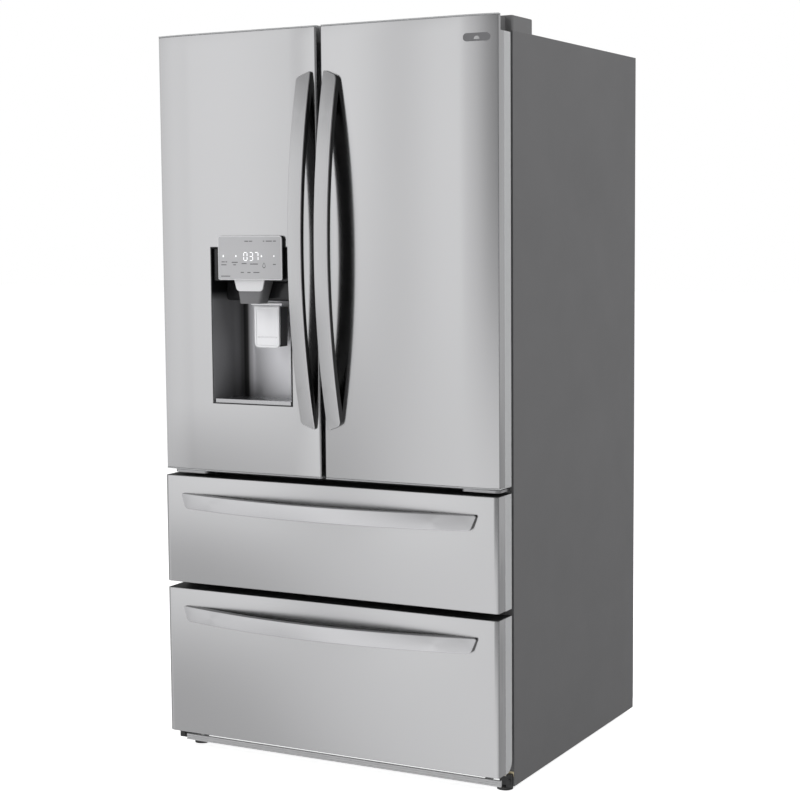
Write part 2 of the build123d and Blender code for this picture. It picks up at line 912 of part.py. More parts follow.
def door_liner(side, hand):
    """Foam body of a door with its moulded inner face and the two dikes."""
    edges, falls, span = door_edges(side)
    dikes = (door_gap / 2 + dike_from_gap, half_case - dike_from_side - dike_width)
    levels = (divider_span[1] + dike_ends, ceiling - dike_ends)
    with BuildPart() as liner:
        front_core(edges, falls, span)
        for near in dikes:
            slab(on_side(side, near, near + dike_width), (door_back, dike_back), levels)
        if side < 0:
            slab(bulge_x, (door_back, case_front + bulge_reach), bulge_z)
            niche_cut()
            slab(
                grown(bulge_x, -ice_wall),
                (ice_room_face, case_front + bulge_reach + 1),
                ice_room_z,
                mode=Mode.SUBTRACT,
            )
            slab(
                chute_top,
                (chute_face, chute_face + passage_depth),
                (niche_z[1], ice_room_z[0] + 1),
                mode=Mode.SUBTRACT,
            )
        hinge_notch(side)
        pin_bores(side)
    finish(liner, f"{hand}_door_liner")


def door_caps(side, hand):
    """End caps that close a door's top and bottom."""
    edges, falls, _ = door_edges(side)
    with BuildPart() as caps:
        for low in (door_span[0], door_span[1] - cap):
            front_block(edges, falls, (door_face, door_back), (low, low + cap))
        hinge_notch(side)
        pin_bores(side)
    finish(caps, f"{hand}_door_caps")


def door_bins(side, hand, levels, height):
    """Open bins between a door's dikes."""
    near = door_gap / 2 + dike_from_gap + dike_width
    far = half_case - dike_from_side - dike_width
    with BuildPart() as bins:
        for level in levels:
            x = on_side(side, near, far)
            tray(x, (door_back, case_front + bin_reach), (level, level + height), bin_wall)
    finish(bins, f"{hand}_door_bins")


def door(side, hand):
    """One door with its handle, without what only one of them has."""
    door_skin(side, hand)
    door_liner(side, hand)
    door_caps(side, hand)
    gasket(
        on_side(side, door_gap / 2 + 3, half_case - gasket_edge),
        (door_span[0] + 2, case_top - 16),
        f"{hand}_door_gasket",
    )
    low, high = door_handle_span
    bow_handle(
        (side * handle_from_gap, door_face, (low + high) / 2),
        (0, 0, 1),
        high - low,
        side,
        f"{hand}_door_handle",
    )


# ---------------------------------------------------------------- dispenser and ice maker


def dispenser_housing():
    """Moulded niche with rounded back corners and a thin bezel on the door."""
    back = door_face + niche_depth
    with BuildPart() as housing:
        slab(
            grown(niche_x, niche_wall),
            (door_face, back + niche_wall),
            grown(niche_z, niche_wall),
        )
        with BuildSketch(Plane.XY.offset(niche_z[0])):
            with BuildLine():
                FilletPolyline(
                    (niche_x[0], door_face - 1),
                    (niche_x[1], door_face - 1),
                    (niche_x[1], back),
                    (niche_x[0], back),
                    radius=[0, 0, niche_corner / 3, niche_corner],
                    close=True,
                )
            make_face()
        extrude(amount=niche_z[1] - niche_z[0], mode=Mode.SUBTRACT)
        slab(
            chute_top,
            (chute_face, chute_face + passage_depth),
            (niche_z[1] - 1, niche_z[1] + niche_wall + 1),
            mode=Mode.SUBTRACT,
        )
        bezel = (door_face - bezel_proud, door_face)
        slab(grown(niche_x, niche_bezel), bezel, grown(niche_z, niche_bezel))
        slab(niche_x, grown(bezel, 1), niche_z, mode=Mode.SUBTRACT)
    finish(housing, "dispenser_housing")


def dispenser_panel():
    """Control panel over the top of the niche, standing proud of the door."""
    face = door_face - panel_proud
    with BuildPart() as panel:
        with BuildSketch(Plane.XZ.offset(-face)):
            with Locations(((panel_x[0] + panel_x[1]) / 2, (panel_z[0] + panel_z[1]) / 2)):
                RectangleRounded(panel_x[1] - panel_x[0], panel_z[1] - panel_z[0], panel_corner)
        extrude(amount=-(panel_proud - bezel_proud))
        fillet(panel.faces().sort_by(Axis.Y)[0].edges(), 2.5)
    finish(panel, "dispenser_panel")


def ice_chute():
    """Head that hides the works at the niche's top, and the tapered spout below it."""
    x_top = (chute_top[0] + chute_top[1]) / 2
    x_bottom = (chute_bottom[0] + chute_bottom[1]) / 2
    y_mid = chute_face + chute_depth[0] / 2
    bore_start = chute_z[1] + head_floor
    sections = ((x_top, chute_top, chute_depth[0]), (x_bottom, chute_bottom, chute_depth[1]))
    with BuildPart() as chute:
        slab(grown(niche_x, -2), (chute_face, chute_face + head_depth), (chute_z[1], niche_z[1]))
        for (x, width, depth), z in zip(sections, reversed(chute_z)):
            with BuildSketch(Plane.XY.offset(z)):
                with Locations((x, y_mid)):
                    RectangleRounded(width[1] - width[0], depth, chute_round)
        loft()
        for (x, width, depth), z in zip(sections, (bore_start, chute_z[0] - 1)):
            with BuildSketch(Plane.XY.offset(z)):
                with Locations((x, y_mid)):
                    RectangleRounded(
                        width[1] - width[0] - 2 * chute_wall,
                        depth - 2 * chute_wall,
                        chute_round - chute_wall,
                    )
        loft(mode=Mode.SUBTRACT)
        slab(
            grown(chute_top, -chute_wall),
            grown((chute_face, chute_face + passage_depth), -chute_wall),
            (bore_start - 1, niche_z[1] + 1),
            mode=Mode.SUBTRACT,
        )
    finish(chute, "ice_chute")


def dispenser_paddle():
    """Press plate behind the spout, hung from a round pivot bar."""
    y = chute_face + chute_depth[0] + paddle_pivot_radius + paddle_clearance
    middle = (paddle_x[0] + paddle_x[1]) / 2
    with BuildPart() as paddle:
        with Locations((middle, y, paddle_z[1])):
            Cylinder(paddle_pivot_radius, paddle_x[1] - paddle_x[0] + 16, rotation=(0, 90, 0))
        slab(paddle_x, (y - paddle_thickness / 2, y + paddle_thickness / 2), paddle_z)
        fillet(paddle.edges().filter_by(Axis.Y).group_by(Axis.Z)[0], 12)
        slab(
            grown(paddle_x, -8),
            (y - paddle_thickness, y - paddle_thickness + 2),
            (paddle_z[0] + 14, paddle_z[0] + 18),
            mode=Mode.SUBTRACT,
        )
    finish(paddle, "dispenser_paddle")


def drip_tray():
    """Shallow tray on the niche's floor, under a slotted grid."""
    x = grown(niche_x, -4)
    y = (door_face + 2, door_face + niche_depth - niche_corner)
    z = (niche_z[0], niche_z[0] + tray_height)
    with BuildPart() as drip:
        tray(x, y, z, 2)
        slab(x, y, (z[1] - 2, z[1]))
        with BuildSketch(Plane.XY.offset(z[1])):
            with Locations(((x[0] + x[1]) / 2, (y[0] + y[1]) / 2)):
                with GridLocations((x[1] - x[0]) / (tray_slots + 2), 0, tray_slots, 1):
                    SlotOverall(y[1] - y[0] - 14, 5, rotation=90)
        extrude(amount=-2, mode=Mode.SUBTRACT)
    finish(drip, "drip_tray")


def ice_bin():
    """Bucket in the door's ice room, open at the top."""
    x = grown(bulge_x, -ice_wall - 4)
    bin_start = ice_room_face + 4
    y = (bin_start, case_front + bulge_reach - ice_door_thickness - 3)
    with BuildPart() as bucket:
        tray(x, y, (ice_room_z[0] + 0.5, ice_room_z[1] - 26), 3)
        slab(
            grown(chute_top, -8),
            (bin_start + 2, chute_face + passage_depth - 2),
            (ice_room_z[0], ice_room_z[0] + 6),
            mode=Mode.SUBTRACT,
        )
    finish(bucket, "ice_bin")


def ice_door():
    """Insulated flap over the ice room, hinged on its outer side."""
    x = grown(bulge_x, -ice_wall - 1)
    back = case_front + bulge_reach
    with BuildPart() as flap:
        slab(x, (back - ice_door_thickness, back), grown(ice_room_z, -1))
        fillet(flap.edges().filter_by(Axis.Y), 6)
        slab(
            (x[1] - 34, x[1] - 22),
            (back - 1, back + 5),
            (ice_room_z[0] + 70, ice_room_z[1] - 70),
        )
    finish(flap, "ice_door")


def flip_mullion():
    """Bar hung on the left door that lies behind both seals when the doors are shut."""
    front = case_front + mullion_behind
    axis_x = -mullion_width / 2 + mullion_thickness / 2
    axis_y = front + mullion_thickness / 2
    span = (divider_span[1] + 8, ceiling - 8)
    with BuildPart() as bar:
        slab(
            (-mullion_width / 2, -mullion_width / 2 + mullion_thickness),
            (front, front + mullion_width),
            span,
        )
        fillet(bar.edges().filter_by(Axis.Z), 3)
        with Locations(*[(axis_x, axis_y, z) for z in (span[0] - 3, span[1])]):
            Cylinder(4, 3, align=(Align.CENTER, Align.CENTER, Align.MIN))
    finish(bar, "flip_mullion")


# ---------------------------------------------------------------- freezer drawers


def drawer_front(span, low_corner, name):
    """Skin and foam body of a drawer front, with its lower back edge rounded off."""
    edges = (-half_case, half_case)
    falls = 2 * [(drawer_edge_run, drawer_edge_fall)]
    with BuildPart() as skin:
        front_skin(edges, falls, span)
    finish(skin, f"{name}_drawer_skin")
    with BuildPart() as core:
        front_core(edges, falls, span)
        back_edges = core.edges().filter_by(Axis.X).group_by(Axis.Y)[-1]
        fillet(back_edges.sort_by(Axis.Z)[0], low_corner)
    finish(core, f"{name}_drawer_liner")


def basket(z, rear, name):
    """Deep basket with a rim that hangs on the two slides."""
    half = cavity_half - basket_side_gap
    y = (case_front + basket_front, rear)
    with BuildPart() as bin_:
        tray((-half, half), y, z, basket_wall)
        with BuildSketch(Plane.XZ.offset(-y[0] + 1)):
            with Locations((0, (z[0] + z[1]) / 2 + 12)):
                with GridLocations(92, 40, 7, 3):
                    SlotOverall(*basket_slot)
        extrude(amount=-basket_wall - 2, mode=Mode.SUBTRACT)
    finish(bin_, f"{name}_drawer_basket")


def drawer_slides(z, rear, name):
    """Moving members: a bar in each channel and a shelf under the basket's side."""
    middle = (z[0] + z[1]) / 2
    thick, high = slide_bar
    half = cavity_half - basket_side_gap
    x_out = cavity_half - 3 - 1
    y_end = rear - 10
    with BuildPart() as slides:
        for side in (-1, 1):
            slab(
                on_side(side, x_out - thick, x_out),
                (door_back, y_end),
                (middle - high / 2, middle + high / 2),
            )
            slab(
                on_side(side, half, x_out - thick),
                (door_back, y_end),
                (middle - slide_shelf, middle + slide_shelf),
            )
    finish(slides, f"{name}_drawer_slides")


def freezer_drawer(name, span, low_corner, basket_span, rear):
    """One freezer drawer: front, seal, handle, basket and slides."""
    drawer_front(span, low_corner, name)
    gasket(
        grown((-half_case, half_case), 6 - gasket_edge),
        (span[0] + low_corner + 1, span[1] - 2),
        f"{name}_drawer_gasket",
    )
    bow_handle(
        (0, door_face, span[1] - drawer_handle_drop),
        (1, 0, 0),
        drawer_handle_length,
        1,
        f"{name}_drawer_handle",
    )
    basket(basket_span, rear, name)
    drawer_slides(basket_span, rear, name)


os.makedirs("parts", exist_ok=True)

outer_case()
back_panel()
base_pan()
insulation()
fridge_liner()
freezer_liner()
front_rails()
hinge_covers()
top_hinges()
middle_hinges()
duct_panel()
evaporator()
cooling_unit()
machine_cover()
base_grille()
foot_brackets()
glass_shelves()
shelf_brackets()
light_panel()
drawer_rails()

leg(-1, "left_front_leg")
leg(1, "right_front_leg")
roller(-1, "left_rear_roller")
roller(1, "right_rear_roller")

crisper_z = (crisper_floor + slide_gap, crisper_cover - shelf_thickness - 14)
open_drawer((4 - cavity_half, -4), crisper_z, "left_crisper")
open_drawer((4, cavity_half - 4), crisper_z, "right_crisper")
pantry_z = (divider_span[1] + slide_gap, crisper_floor - shelf_thickness - 12)
open_drawer((4 - cavity_half, cavity_half - 4), pantry_z, "pantry_drawer")

door(-1, "left")
door(1, "right")
door_bins(-1, "left", left_bin_levels, left_bin_height)
door_bins(1, "right", right_bin_levels, bin_height)
dispenser_housing()
dispenser_panel()
ice_chute()
dispenser_paddle()
drip_tray()
ice_bin()
ice_door()
flip_mullion()

freezer_drawer("upper", upper_span, 2, upper_basket_span, upper_basket_rear)
freezer_drawer("lower", lower_span, sill_corner, lower_basket_span, lower_basket_rear)
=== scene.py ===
import json
import math
import bmesh
import bpy
from mathutils import Matrix, Vector

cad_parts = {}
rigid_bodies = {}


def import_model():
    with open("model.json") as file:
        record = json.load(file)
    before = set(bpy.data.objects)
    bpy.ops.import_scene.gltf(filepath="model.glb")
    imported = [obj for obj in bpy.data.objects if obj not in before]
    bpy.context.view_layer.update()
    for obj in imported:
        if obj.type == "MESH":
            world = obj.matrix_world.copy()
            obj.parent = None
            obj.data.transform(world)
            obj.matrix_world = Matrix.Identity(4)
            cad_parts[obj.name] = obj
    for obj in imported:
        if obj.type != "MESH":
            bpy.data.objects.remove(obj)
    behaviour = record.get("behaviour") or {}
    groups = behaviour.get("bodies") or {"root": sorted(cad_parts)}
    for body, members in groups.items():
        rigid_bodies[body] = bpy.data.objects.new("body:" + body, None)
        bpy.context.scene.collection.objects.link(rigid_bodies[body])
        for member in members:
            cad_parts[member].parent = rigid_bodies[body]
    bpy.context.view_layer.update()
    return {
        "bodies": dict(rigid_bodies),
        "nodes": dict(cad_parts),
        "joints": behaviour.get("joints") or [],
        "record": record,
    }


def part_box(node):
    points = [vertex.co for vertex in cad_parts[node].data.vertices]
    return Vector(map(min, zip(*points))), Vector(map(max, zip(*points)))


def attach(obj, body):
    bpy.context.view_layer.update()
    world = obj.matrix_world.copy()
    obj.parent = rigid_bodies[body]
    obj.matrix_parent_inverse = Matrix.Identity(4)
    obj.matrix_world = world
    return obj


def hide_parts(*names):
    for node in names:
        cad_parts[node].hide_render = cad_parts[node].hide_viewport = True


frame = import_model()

nodes = frame["nodes"]
print("frame loaded:", len(nodes), "nodes")

# ---- camera, room and lights

cameraSetup = {
    "place": (2.1195, -3.9623, 1.2984),
    "yaw": 28.21,       # degrees, towards the left
    "pitch": -5.5,
    "roll": -0.48,
    "lens": 79.8,
    "sensor": 36.0,
}


def makeCamera(setup):
    yaw, pitch, roll = (math.radians(setup[key]) for key in ("yaw", "pitch", "roll"))
    ahead = Vector((-math.sin(yaw) * math.cos(pitch), math.cos(yaw) * math.cos(pitch), math.sin(pitch)))
    right = ahead.cross(Vector((0, 0, 1))).normalized()
    up = right.cross(ahead)
    tiltedRight = math.cos(roll) * right + math.sin(roll) * up
    tiltedUp = -math.sin(roll) * right + math.cos(roll) * up
    turn = Matrix((tiltedRight, tiltedUp, -ahead)).transposed().to_4x4()
    data = bpy.data.cameras.new("camera")
    data.lens, data.sensor_width = setup["lens"], setup["sensor"]
    camera = bpy.data.objects.new("camera", data)
    camera.matrix_world = Matrix.Translation(setup["place"]) @ turn
    bpy.context.scene.collection.objects.link(camera)
    bpy.context.scene.camera = camera


def linear(level):  # brightness out of 255 to scene light
    value = level / 255
    return value / 12.92 if value <= 0.04045 else ((value + 0.055) / 1.055) ** 2.4


# light from each bearing, in degrees left of straight ahead of the doors
room = {
    "steel": 0.66,
    "high": ((-180, 150), (-150, 162), (-120, 120), (-60, 100), (-10, 105), (2, 116), (8.5, 141), (15.6, 176),
             (22, 192), (25.5, 208), (27.3, 228), (28.6, 206), (29.7, 160), (30.5, 160), (31.4, 203),
             (32.6, 224), (33.5, 227),
             (34.9, 209), (38, 206), (47, 208), (57, 197), (70, 165), (110, 110), (180, 165)),
    "low": ((-180, 128), (-150, 138), (-120, 100), (-60, 150), (-10, 200), (5, 203), (25, 200), (29.3, 197),
            (31.7, 189), (33.2, 173), (34.6, 157), (36, 146), (44, 164), (60, 178), (80, 140), (110, 100),
            (180, 140)),
    "turnover": (-0.19, -0.13),   # slope of the view where low gives way to high
    "overhead": (0.24, 0.5), "overheadLevel": 0.5,   # slopes between which the room dims, and how far
    "blue": 1.01,
}


def setStops(ramp, stops):    # pairs of a place from 0 to 1 and a colour
    elements = ramp.color_ramp.elements
    while len(elements) > 1:
        elements.remove(elements[-1])
    for index, (place, colour) in enumerate(stops):
        stop = elements[0] if index == 0 else elements.new(place)
        stop.position, stop.color = place, colour


def makeRoom(spec):
    world = bpy.data.worlds.new("room")
    world.use_nodes = True
    tree = world.node_tree
    tree.nodes.clear()
    node, link = tree.nodes.new, tree.links.new
    coords = node("ShaderNodeTexCoord")
    split = node("ShaderNodeSeparateXYZ")
    link(coords.outputs["Generated"], split.inputs[0])
    flipX, flipY = node("ShaderNodeMath"), node("ShaderNodeMath")
    for flip, axis in ((flipX, "X"), (flipY, "Y")):
        flip.operation = "MULTIPLY"
        flip.inputs[1].default_value = -1
        link(split.outputs[axis], flip.inputs[0])
    bearing = node("ShaderNodeMath")
    bearing.operation = "ARCTAN2"
    link(flipX.outputs[0], bearing.inputs[0])
    link(flipY.outputs[0], bearing.inputs[1])
    share = node("ShaderNodeMapRange")
    share.inputs["From Min"].default_value = -math.pi
    share.inputs["From Max"].default_value = math.pi
    link(bearing.outputs[0], share.inputs["Value"])
    ramps = []
    for key in ("low", "high"):
        ramp = node("ShaderNodeValToRGB")
        lights = [(degrees, linear(level)) for degrees, level in spec[key]]
        setStops(ramp, [((degrees + 180) / 360, (light, light, light * spec["blue"], 1))
                        for degrees, light in lights])
        link(share.outputs[0], ramp.inputs[0])
        ramps.append(ramp)
    height = node("ShaderNodeMapRange")
    height.interpolation_type = "SMOOTHSTEP"
    height.inputs["From Min"].default_value, height.inputs["From Max"].default_value = spec["turnover"]
    link(split.outputs["Z"], height.inputs["Value"])
    mix = node("ShaderNodeMix")
    mix.data_type = "RGBA"
    link(height.outputs[0], mix.inputs["Factor"])
    link(ramps[0].outputs[0], mix.inputs["A"])
    link(ramps[1].outputs[0], mix.inputs["B"])
    dimmer, overhead = node("ShaderNodeMapRange"), node("ShaderNodeMix")
    dimmer.interpolation_type = "SMOOTHSTEP"
    dimmer.inputs["From Min"].default_value, dimmer.inputs["From Max"].default_value = spec["overhead"]
    dimmer.inputs["To Min"].default_value, dimmer.inputs["To Max"].default_value = 1, spec["overheadLevel"]
    link(split.outputs["Z"], dimmer.inputs["Value"])
    overhead.data_type, overhead.blend_type = "RGBA", "MULTIPLY"
    overhead.inputs["Factor"].default_value = 1
    link(mix.outputs["Result"], overhead.inputs["A"])
    link(dimmer.outputs[0], overhead.inputs["B"])
    seen, plain, rays, choose = (node("ShaderNodeBackground"), node("ShaderNodeBackground"),
                                 node("ShaderNodeLightPath"), node("ShaderNodeMixShader"))
    link(overhead.outputs["Result"], plain.inputs["Color"])
    plain.inputs["Strength"].default_value = 1 / spec["steel"]
    seen.inputs["Color"].default_value = (1, 1, 1, 1)
    link(rays.outputs["Is Camera Ray"], choose.inputs[0])
    link(plain.outputs[0], choose.inputs[1])
    link(seen.outputs[0], choose.inputs[2])
    link(choose.outputs[0], node("ShaderNodeOutputWorld").inputs["Surface"])
    bpy.context.scene.world = world
    bpy.context.scene.view_settings.view_transform = "Standard"


lamps = (
    # place, aimed at, size, power
    ((-2.6, -3.4, 3.6), (0, 0, 0.9), 2.6, 85),
    ((3.0, -1.2, 3.6), (0, 0, 1.3), 2.2, 80),
    ((0.5, 2.8, 2.8), (0, 0.3, 0.9), 2.4, 40),
)


def makeLamps():
    for index, (place, aim, size, power) in enumerate(lamps):
        data = bpy.data.lights.new(f"lamp{index}", "AREA")
        data.shape, data.size, data.energy = "SQUARE", size, power
        lamp = bpy.data.objects.new(f"lamp{index}", data)
        lamp.location = place
        lamp.rotation_euler = (Vector(aim) - Vector(place)).to_track_quat("-Z", "Y").to_euler()
        lamp.visible_glossy = False
        bpy.context.scene.collection.objects.link(lamp)


floorLook = {"half": 30.0, "paint": 0.9, "rough": 0.9, "lift": 0.82}


def makeFloor(look):
    half = look["half"]
    mesh = bpy.data.meshes.new("floor")
    corners = [(-half, -half, 0), (half, -half, 0), (half, half, 0), (-half, half, 0)]
    mesh.from_pydata(corners, [], [(0, 1, 2, 3)])
    floor = bpy.data.objects.new("floor", mesh)
    bpy.context.scene.collection.objects.link(floor)
    paint = bpy.data.materials.new("paleFloor")
    paint.use_nodes = True
    shader = paint.node_tree.nodes["Principled BSDF"]
    shader.inputs["Base Color"].default_value = (look["paint"],) * 3 + (1,)
    shader.inputs["Roughness"].default_value = look["rough"]
    shader.inputs["Specular IOR Level"].default_value = 0
    shader.inputs["Emission Color"].default_value = (1, 1, 1, 1)
    shader.inputs["Emission Strength"].default_value = look["lift"]
    mesh.materials.append(paint)
    floor.visible_glossy = False


makeCamera(cameraSetup)
makeRoom(room)
makeLamps()
makeFloor(floorLook)
print("camera, room, lamps and floor made")

# ---- shader groups that several finishes share


def newTree(name, kind, inputs, outputs):
    tree = bpy.data.node_groups.new(name, kind)
    for label, socketKind, value in inputs:
        socket = tree.interface.new_socket(label, in_out="INPUT", socket_type=socketKind)
        if value is not None:
            socket.default_value = value
    for label, socketKind in outputs:
        tree.interface.new_socket(label, in_out="OUTPUT", socket_type=socketKind)
    return tree, tree.nodes.new("NodeGroupInput"), tree.nodes.new("NodeGroupOutput")


def mathStep(tree, operation, first, second=None, clamp=False):
    step = tree.nodes.new("ShaderNodeMath")
    step.operation, step.use_clamp = operation, clamp
    for index, value in enumerate((first, second)):
        if value is None:
            continue
        if isinstance(value, (int, float)):
            step.inputs[index].default_value = value
        else:
            tree.links.new(value, step.inputs[index])
    return step.outputs[0]


def noiseStep(tree, vector, scale, detail=3.0):
    noise = tree.nodes.new("ShaderNodeTexNoise")
    noise.inputs["Detail"].default_value = detail
    tree.links.new(vector, noise.inputs["Vector"])
    if isinstance(scale, (int, float)):
        noise.inputs["Scale"].default_value = scale
    else:
        tree.links.new(scale, noise.inputs["Scale"])
    return noise.outputs["Fac"]


def makeGrainGroup():   # long fine scratches, plus slow clouding
    group, given, made = newTree(
        "grain", "ShaderNodeTree",
        [("Stretch", "NodeSocketVector", (1, 1, 1)), ("Clouding", "NodeSocketFloat", 5.0)],
        [("Grain", "NodeSocketFloat"), ("Cloud", "NodeSocketFloat")],
    )
    coords = group.nodes.new("ShaderNodeTexCoord")
    stretch = group.nodes.new("ShaderNodeVectorMath")
    stretch.operation = "MULTIPLY"
    group.links.new(coords.outputs["Object"], stretch.inputs[0])
    group.links.new(given.outputs["Stretch"], stretch.inputs[1])
    group.links.new(noiseStep(group, stretch.outputs[0], 1.0, 2.0), made.inputs["Grain"])
    clouds = noiseStep(group, coords.outputs["Object"], given.outputs["Clouding"])
    group.links.new(clouds, made.inputs["Cloud"])
    return group


def makeWearGroup():    # mask of edges rubbed bright
    group, given, made = newTree(
        "edgeWear", "ShaderNodeTree",
        [("Width", "NodeSocketFloat", 0.001), ("Patchiness", "NodeSocketFloat", 60.0),
         ("Amount", "NodeSocketFloat", 1.0)],
        [("Mask", "NodeSocketFloat")],
    )
    rounded, real = group.nodes.new("ShaderNodeBevel"), group.nodes.new("ShaderNodeNewGeometry")
    rounded.samples = 4
    group.links.new(given.outputs["Width"], rounded.inputs["Radius"])
    dot = group.nodes.new("ShaderNodeVectorMath")
    dot.operation = "DOT_PRODUCT"
    group.links.new(rounded.outputs[0], dot.inputs[0])
    group.links.new(real.outputs["Normal"], dot.inputs[1])
    coords = group.nodes.new("ShaderNodeTexCoord")
    patches = noiseStep(group, coords.outputs["Object"], given.outputs["Patchiness"])
    edge = mathStep(group, "MULTIPLY", mathStep(group, "SUBTRACT", 1.0, dot.outputs["Value"]), 4.0, True)
    rubbed = mathStep(group, "MULTIPLY", edge, patches)
    group.links.new(mathStep(group, "MULTIPLY", rubbed, given.outputs["Amount"], True), made.inputs["Mask"])
    return group


def makeDustGroup():    # thin dust, thicker on what faces up
    group, given, made = newTree(
        "dust", "ShaderNodeTree", [("Amount", "NodeSocketFloat", 0.2)], [("Mask", "NodeSocketFloat")])
    real, split = group.nodes.new("ShaderNodeNewGeometry"), group.nodes.new("ShaderNodeSeparateXYZ")
    group.links.new(real.outputs["Normal"], split.inputs[0])
    coords = group.nodes.new("ShaderNodeTexCoord")
    patches = noiseStep(group, coords.outputs["Object"], 9.0, 5.0)
    facing = mathStep(group, "MULTIPLY_ADD", split.outputs["Z"], 0.8, True)
    facing.node.inputs[2].default_value = 0.2
    settled = mathStep(group, "MULTIPLY", facing, patches)
    group.links.new(mathStep(group, "MULTIPLY", settled, given.outputs["Amount"], True), made.inputs["Mask"])
    return group


grainGroup, wearGroup, dustGroup = makeGrainGroup(), makeWearGroup(), makeDustGroup()
print("shader groups made")

# ---- finishes

